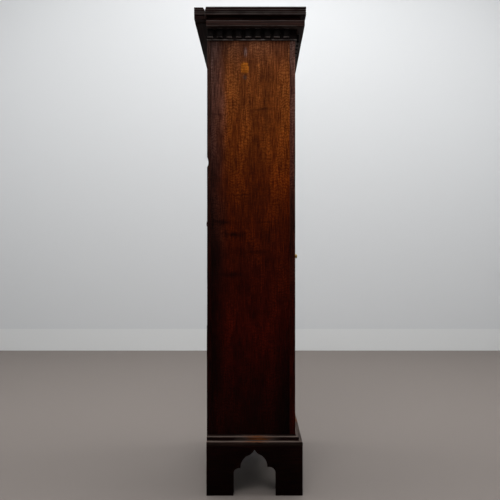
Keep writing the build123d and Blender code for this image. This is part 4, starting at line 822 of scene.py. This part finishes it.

# -------- base moulding and plinth
# A stepped moulding hides the joint between case and plinth. Its two noses are rubbed down to
# pale wood by feet and brooms, more so in the middle, and their up-facing arrises carry thin grey
# lines that are partly that wear and partly painted highlight. The plinth boards under it are sawn
# to bracket feet and mitred at the front corners.


def rubbed_oak_with_painted_highlights(name, grain, run_axis):
    """The base moulding's finish: nearly black, with bare wood showing on the noses, and thin grey
    lines on their up-facing arrises that are partly rubbed wear and partly painted highlight.
    """
    finish = Finish(name)
    places = finish.axes()
    up, run = places[2], places[run_axis]
    lines = finish.grained(grain, 240, 9, 4.0, detail=4.0, rough=0.6)
    patches = finish.grained(grain, 50, 16, 8.0, detail=4.0, rough=0.6)
    facing_up = Value(finish, finish.node("ShaderNodeNewGeometry", {}, ()).outputs["Normal"])
    tilt = Value(finish, finish.node("ShaderNodeSeparateXYZ", {}, (facing_up,)).outputs[2])
    nose = up.near(base_low[2] + 0.0122, 0.0012) + up.near(base_low[2] + 0.0232, 0.0011)
    ragged = (patches - 0.5) * 0.012
    wide = (up + ragged).near(base_low[2] + 0.0215, 0.0060) * 0.8
    wide = wide + (up + ragged).near(base_low[2] + 0.0110, 0.0035) * 0.5
    middle = (run + 0.014 + (patches - 0.5) * 0.10).near(0.0, 0.075)
    hollow = up.near(base_low[2] + 0.0170, 0.0060) * middle * 0.9
    lip = up.near(base_low[2] + 0.0060, 0.0060) * 0.10
    worn = patches.between(0.20, 0.50)
    # The grey on the noses shows only where the surface faces up: partly rubbed wear, partly painted
    # highlight from light above. The warm middle is bare wood.
    rub = (nose + wide * middle * 0.7) * tilt.between(-0.60, 0.45) * worn + (hollow + lip) * worn
    bare = middle * (hollow * 1.6 + wide) * (0.35 + 0.65 * lines.between(0.35, 0.65))
    dark = finish.mix(lines.between(0.3, 0.8), (0.0030, 0.0008, 0.0005), (0.0120, 0.0034, 0.0018))
    grey = finish.mix(lines, (0.050, 0.037, 0.031), (0.150, 0.114, 0.096))
    warm = finish.mix(lines.between(0.3, 0.7), (0.040, 0.011, 0.004), (0.190, 0.062, 0.018))
    colour = finish.mix(rub, dark, finish.mix(bare.between(0.0, 0.6), grey, warm))
    return finish.set(Base_Color=colour, Roughness=0.45 + 0.25 * rub + 0.1 * lines,
                      Specular_IOR_Level=0.04, Normal=finish.bump(lines, 0.3, 0.0005))


base_low, base_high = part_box("base_moulding")
base_out = -half_width - base_low[0]
step_z = base_low[2] + 0.0129
base_profile = [(0, base_high[2]), (0, base_low[2]), (base_out - 0.0008, base_low[2])]
base_profile += [(base_out, base_low[2] + 0.0010)]
base_profile += arc((base_out - 0.0042, step_z - 0.0042), 0.0042, 0, 90, 6)
base_profile += [(0.0118, step_z), (0.0098, step_z + 0.0012), (0.0092, step_z + 0.0030)]
base_profile += arc((0.0068, step_z + 0.0068), 0.0034, -40, 95, 7)
base_profile += [(0.0046, step_z + 0.01045), (0.0018, step_z + 0.0112), (0.0005, step_z + 0.0128)]
base_oak_side = rubbed_oak_with_painted_highlights("oak_base_along", "y", 1)
base_oak_front = rubbed_oak_with_painted_highlights("oak_base_across", "x", 0)
for side in three_sides:
    finish = base_oak_front if side[0] == "front" else base_oak_side
    moulding(f"base_moulding_{side[0]}", base_profile, side, finish, "base_moulding", seed=3 + side[1][1],
             wear=0.0005)
plinth_oak_side = oak("oak_plinth_side", grain="y", shade=0.9, shift=101.0, figure=0.3)
softened("plinth_sides", plinth_oak_side, 0.0014, parts=3)
plinth_oak_front = oak("oak_plinth_front", grain="x", shade=0.9, shift=108.0, figure=0.3)
softened("plinth_front", plinth_oak_front, 0.0014, parts=3)

# -------- inside of the case
# Everything inside is plain oak that was never polished: the bottom board, the seat board with its
# bearers, and the glued blocks and back rail behind the plinth.


def raw_oak(name, grain, shift):
    """Unpolished oak, gone brown and dusty."""
    finish = Finish(name)
    lines = finish.grained(grain, 190, 6, shift, detail=5.0, rough=0.6, bend=0.5)
    cloud = finish.noise(9.0, 4.0, 0.6)
    wood = finish.mix(lines.between(0.25, 0.8), (0.018, 0.008, 0.004), (0.074, 0.035, 0.016))
    dusty = finish.mix(cloud.between(0.35, 0.75) * 0.35, wood, (0.060, 0.045, 0.034))
    return finish.set(Base_Color=dusty, Roughness=0.70 + 0.2 * cloud, Specular_IOR_Level=0.1,
                      Normal=finish.bump(lines, 0.4, 0.0006))


raw_across = raw_oak("oak_raw_across", "x", 3.0)
softened("bottom_board", raw_across, 0.0008, "case")
softened("seat_board", raw_across, 0.0010, "case")
softened("seat_board_bearers", raw_oak("oak_raw_along", "y", 9.0), 0.0010, "case")
softened("plinth_inner_blocks", raw_across, 0.0012, "case")

# -------- trunk door
# Stiles and rails round a fielded panel, with a round glass in a brass ring through which the
# pendulum's bob shows. A brass knob turns the tongue that holds the door shut.
door_oak = oak("oak_doors", shift=33.0)
door_rail_oak = oak("oak_door_rails", grain="x", shift=36.0, figure=0.6)
softened("trunk_door_stiles", door_oak, 0.0010, "trunk_door")
softened("trunk_door_rails", door_rail_oak, 0.0010, "trunk_door")
softened("trunk_door_panel", oak("oak_panel", shift=39.0, figure=1.2), 0.0008, "trunk_door")


def brass(name, light, dark, tarnish, rough, turned=None):
    """Brass with tarnish in patches. If turned, it has fine rings: turned is their centre (x, z)
    and how closely they lie."""
    finish = Finish(name)
    patches = finish.noise(60.0, 5.0, 0.65)
    spots = finish.noise(420.0, 3.0, 0.6)
    stain = patches.between(0.40, 0.75) * tarnish + spots.between(0.60, 0.80) * tarnish * 0.6
    height = spots
    if turned:
        height = spots * 0.4 + (finish.from_centre(turned) * turned[2]).sine() * 0.5
    return finish.set(Base_Color=finish.mix(stain, light, dark), Metallic=1.0 - 0.25 * stain,
                      Roughness=rough + 0.35 * stain, Normal=finish.bump(height, 0.25, 0.0002))


old_brass = brass("brass_old", (0.52, 0.36, 0.13), (0.10, 0.060, 0.025), 0.9, 0.34)
bright_brass = brass("brass_polished", (0.78, 0.56, 0.22), (0.30, 0.18, 0.06), 0.45, 0.18)


def centre_of(node):
    """The middle of a node as seen from the front."""
    low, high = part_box(node)
    return (low[0] + high[0]) / 2, (low[2] + high[2]) / 2


bob_centre = centre_of("pendulum_bob")
ring_brass = brass("brass_ring", (0.66, 0.46, 0.17), (0.18, 0.10, 0.04), 0.6, 0.24, (*bob_centre, 9000.0))
softened("lenticle_bezel", ring_brass, 0.0005, "trunk_door")
softened("trunk_door_catch", old_brass, 0.0003, "trunk_catch")


def window(name):
    """Old glass: clear, a little green, with a faint ripple."""
    finish = Finish(name)
    ripple = finish.noise(14.0, 2.0)
    return finish.set(Base_Color=(0.93, 0.97, 0.95, 1), Roughness=0.02, Transmission_Weight=1.0, IOR=1.45,
                      Normal=finish.bump(ripple, 0.10, 0.002))


old_glass = window("glass_old")


def refinish(node, material):
    """A node whose shape is right gets only its finish."""
    for holder in nodes[node].material_slots:
        holder.material = material


refinish("lenticle_glass", old_glass)

# -------- dial door
# A square glazed frame. The glass lies in a rebate behind the frame and is held by four thin
# beads. A low slotted disc turns its catch.
softened("dial_door_stiles", door_oak, 0.0010, "dial_door")
softened("dial_door_rails", door_rail_oak, 0.0010, "dial_door")
softened("dial_door_beads", door_rail_oak, 0.0006, "dial_door")
softened("dial_door_catch", old_brass, 0.0003, "dial_catch")
refinish("dial_door_glass", old_glass)

# -------- hinges
# Cast brass butts with five knuckles, let into the edges of door and stile. The door's knuckles
# turn on a pin that stays with the case, and the brass has gone brown.
for body in ("case", "trunk_door", "dial_door"):
    softened(f"{body}_hinge_leaves", old_brass, 0.0003, body)

# -------- dial
# A square brass plate, matted in the middle, carries a silvered chapter ring with engraved and
# waxed hours and minutes, and a cast brass ornament in each corner.
dial_centre = centre_of("dial_plate")
ring_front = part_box("chapter_ring")[0][1]
ring_inner = 0.090


def dial_brass(name):
    """The dial plate: punched all over in the middle, and polished outside the ring."""
    finish = Finish(name)
    radius = finish.from_centre(dial_centre)
    middle = radius.between(ring_inner + 0.002, ring_inner)
    punched = finish.noise(1500.0, 2.0, 0.5)
    patches = finish.noise(45.0, 4.0, 0.6)
    colour = finish.mix(patches.between(0.45, 0.8) * 0.5, (0.70, 0.50, 0.20), (0.24, 0.14, 0.055))
    return finish.set(Base_Color=colour, Metallic=0.95, Roughness=0.24 + 0.26 * middle + 0.15 * patches,
                      Normal=finish.bump(punched * middle, 0.8, 0.0005))


def silvered(name):
    """Silvered brass: a matt grey white, brushed round in rings, gone yellow in places."""
    finish = Finish(name)
    radius = finish.from_centre(dial_centre)
    wave = (radius * 16000.0).sine()
    patches = finish.noise(38.0, 4.0, 0.6)
    colour = finish.mix(patches.between(0.45, 0.8) * 0.5, (0.66, 0.65, 0.60), (0.42, 0.37, 0.27))
    return finish.set(Base_Color=colour, Metallic=0.55, Roughness=0.38 + 0.2 * patches,
                      Normal=finish.bump(wave, 0.08, 0.0001))


softened("dial_plate", dial_brass("brass_dial"), 0.0004, "case")
softened("chapter_ring", silvered("silvered_ring"), 0.0003, "case")
cast_brass = brass("brass_cast", (0.62, 0.43, 0.16), (0.14, 0.08, 0.03), 0.8, 0.30)
softened("dial_spandrels", cast_brass, 0.0007, "case", parts=3)
softened("dial_feet", old_brass, 0.0003, "case")

wax_finish = Finish("black_wax")
wax_grain = wax_finish.noise(300.0)
black_wax = wax_finish.set(
    Base_Color=wax_finish.mix(wax_grain, (0.006, 0.006, 0.006), (0.02, 0.018, 0.016)),
    Roughness=0.45 + 0.2 * wax_finish.noise(500.0),
)
wax_depth = 0.00025
marks = []


def upright_text(words, size):
    """Lettering as a thin mesh that faces the front and is drawn round its own middle."""
    curve = bpy.data.curves.new("numeral", "FONT")
    curve.body, curve.size = words, size
    curve.align_x, curve.align_y = "CENTER", "CENTER"
    curve.extrude, curve.offset, curve.resolution_u = wax_depth / 2, 0.00025, 3
    mesh = evaluated(bpy.data.objects.new("numeral", curve))
    places = [[vertex.co[axis] for vertex in mesh.vertices] for axis in (0, 1)]
    middle = [(min(line) + max(line)) / 2 for line in places]
    mesh.transform(Matrix.Translation((-middle[0], -middle[1], 0)))
    mesh.transform(Matrix.Diagonal((0.82, 1.22, 1, 1)))
    mesh.transform(Matrix.Rotation(radians(90), 4, "X"))
    return mesh


def round_dial(mesh, radius, degrees):
    """Turns a mark that stands upright at twelve to its place round the dial."""
    mesh.transform(Matrix.Translation((0, ring_front - wax_depth / 2, radius)))
    mesh.transform(Matrix.Rotation(radians(degrees), 4, "Y"))
    mesh.transform(Matrix.Translation((dial_centre[0], 0, dial_centre[1])))
    marks.append(mesh)


numeral_radius, numeral_size, minute_radius, mark_half = 0.1010, 0.0215, 0.1145, 0.0033
for hour, numeral in enumerate("XII I II III IV V VI VII VIII IX X XI".split()):
    round_dial(upright_text(numeral, numeral_size), numeral_radius, 30 * hour)


def ring_mesh(inner, outer, parts=144):
    """A flat ring of wax."""
    shape = bmesh.new()
    loops = []
    for y in (-wax_depth / 2, wax_depth / 2):
        for radius in (inner, outer):
            loops.append([
                shape.verts.new((radius * sin(2 * pi * n / parts), y, radius * cos(2 * pi * n / parts)))
                for n in range(parts)
            ])
    for first, second in ((0, 1), (1, 3), (3, 2), (2, 0)):
        for n in range(parts):
            m = (n + 1) % parts
            shape.faces.new((loops[first][n], loops[first][m], loops[second][m], loops[second][n]))
    bmesh.ops.recalc_face_normals(shape, faces=shape.faces)
    return as_mesh("ring", shape)


for inner, outer in ((0.1110, 0.1114), (0.1176, 0.1180), (0.0912, 0.0916)):
    round_dial(ring_mesh(inner, outer), 0.0, 0)
for minute in range(60):
    half = 0.00065 if minute % 5 == 0 else 0.00025
    mark = plank_mesh("mark", (-half, -wax_depth / 2, -mark_half), (half, wax_depth / 2, mark_half), 2,
                      edge=0.00005, uneven=0.0, step=0.003)
    round_dial(mark, minute_radius, 6 * minute)
settle(joined("dial_markings", marks, black_wax), "case")

# -------- hands
# Both are sawn and filed from steel plate, then heated on a bed of filings until they turn blue.
# The hour hand sits on a pipe, and the minute hand on the end of the centre arbor.
blue_finish = Finish("steel_blued")
heat = blue_finish.noise(55.0, 3.0)
blued_steel = blue_finish.set(
    Base_Color=blue_finish.mix(heat.between(0.35, 0.7), (0.012, 0.018, 0.060), (0.020, 0.014, 0.045)),
    Metallic=0.9,
    Roughness=0.22 + 0.2 * heat,
)
softened("hour_hand", blued_steel, 0.00025, "hour_pipe")
softened("minute_hand", blued_steel, 0.00025, "centre_arbor")

# -------- movement
# Two brass plates on four pillars hold a train of brass wheels on steel arbors, from the spring
# barrel at the bottom to the escape wheel and anchor at the top.
wheel_brass = brass("brass_wheels", (0.74, 0.54, 0.22), (0.34, 0.21, 0.08), 0.35, 0.26)
plate_brass = brass("brass_plates", (0.68, 0.49, 0.19), (0.26, 0.16, 0.06), 0.45, 0.30)
for node in ("movement_front_plate", "movement_back_plate", "movement_pillars", "back_cock"):
    softened(node, plate_brass, 0.0004, "case")
for node in ("barrel", "intermediate_wheel", "centre_wheel", "cannon_pinion", "minute_wheel", "hour_wheel",
             "third_wheel", "escape_wheel"):
    refinish(node, wheel_brass)


def steel(name):
    """Bright steel with fine scratches and a little rust."""
    finish = Finish(name)
    scratches = finish.grained("z", 900, 60)
    rust = finish.noise(90.0, 4.0, 0.6).between(0.62, 0.85)
    return finish.set(Base_Color=finish.mix(rust * 0.6, (0.42, 0.42, 0.43), (0.16, 0.07, 0.03)),
                      Metallic=1.0 - 0.5 * rust, Roughness=0.24 + 0.2 * scratches + 0.3 * rust)


bright_steel = steel("steel_bright")
refinish("barrel_arbor", bright_steel)
softened("anchor", bright_steel, 0.0003, "pallet_arbor")

# -------- pendulum
# A steel rod hangs from a thin spring, with a lead-filled brass bob that a nut below it raises or
# lowers to make the clock gain or lose.
refinish("suspension_spring", bright_steel)
refinish("pendulum_rod", bright_steel)
bob_brass = brass("brass_bob", (0.80, 0.58, 0.24), (0.36, 0.22, 0.08), 0.4, 0.20, (*bob_centre, 7000.0))
refinish("pendulum_bob", bob_brass)
refinish("rating_nut", bright_brass)
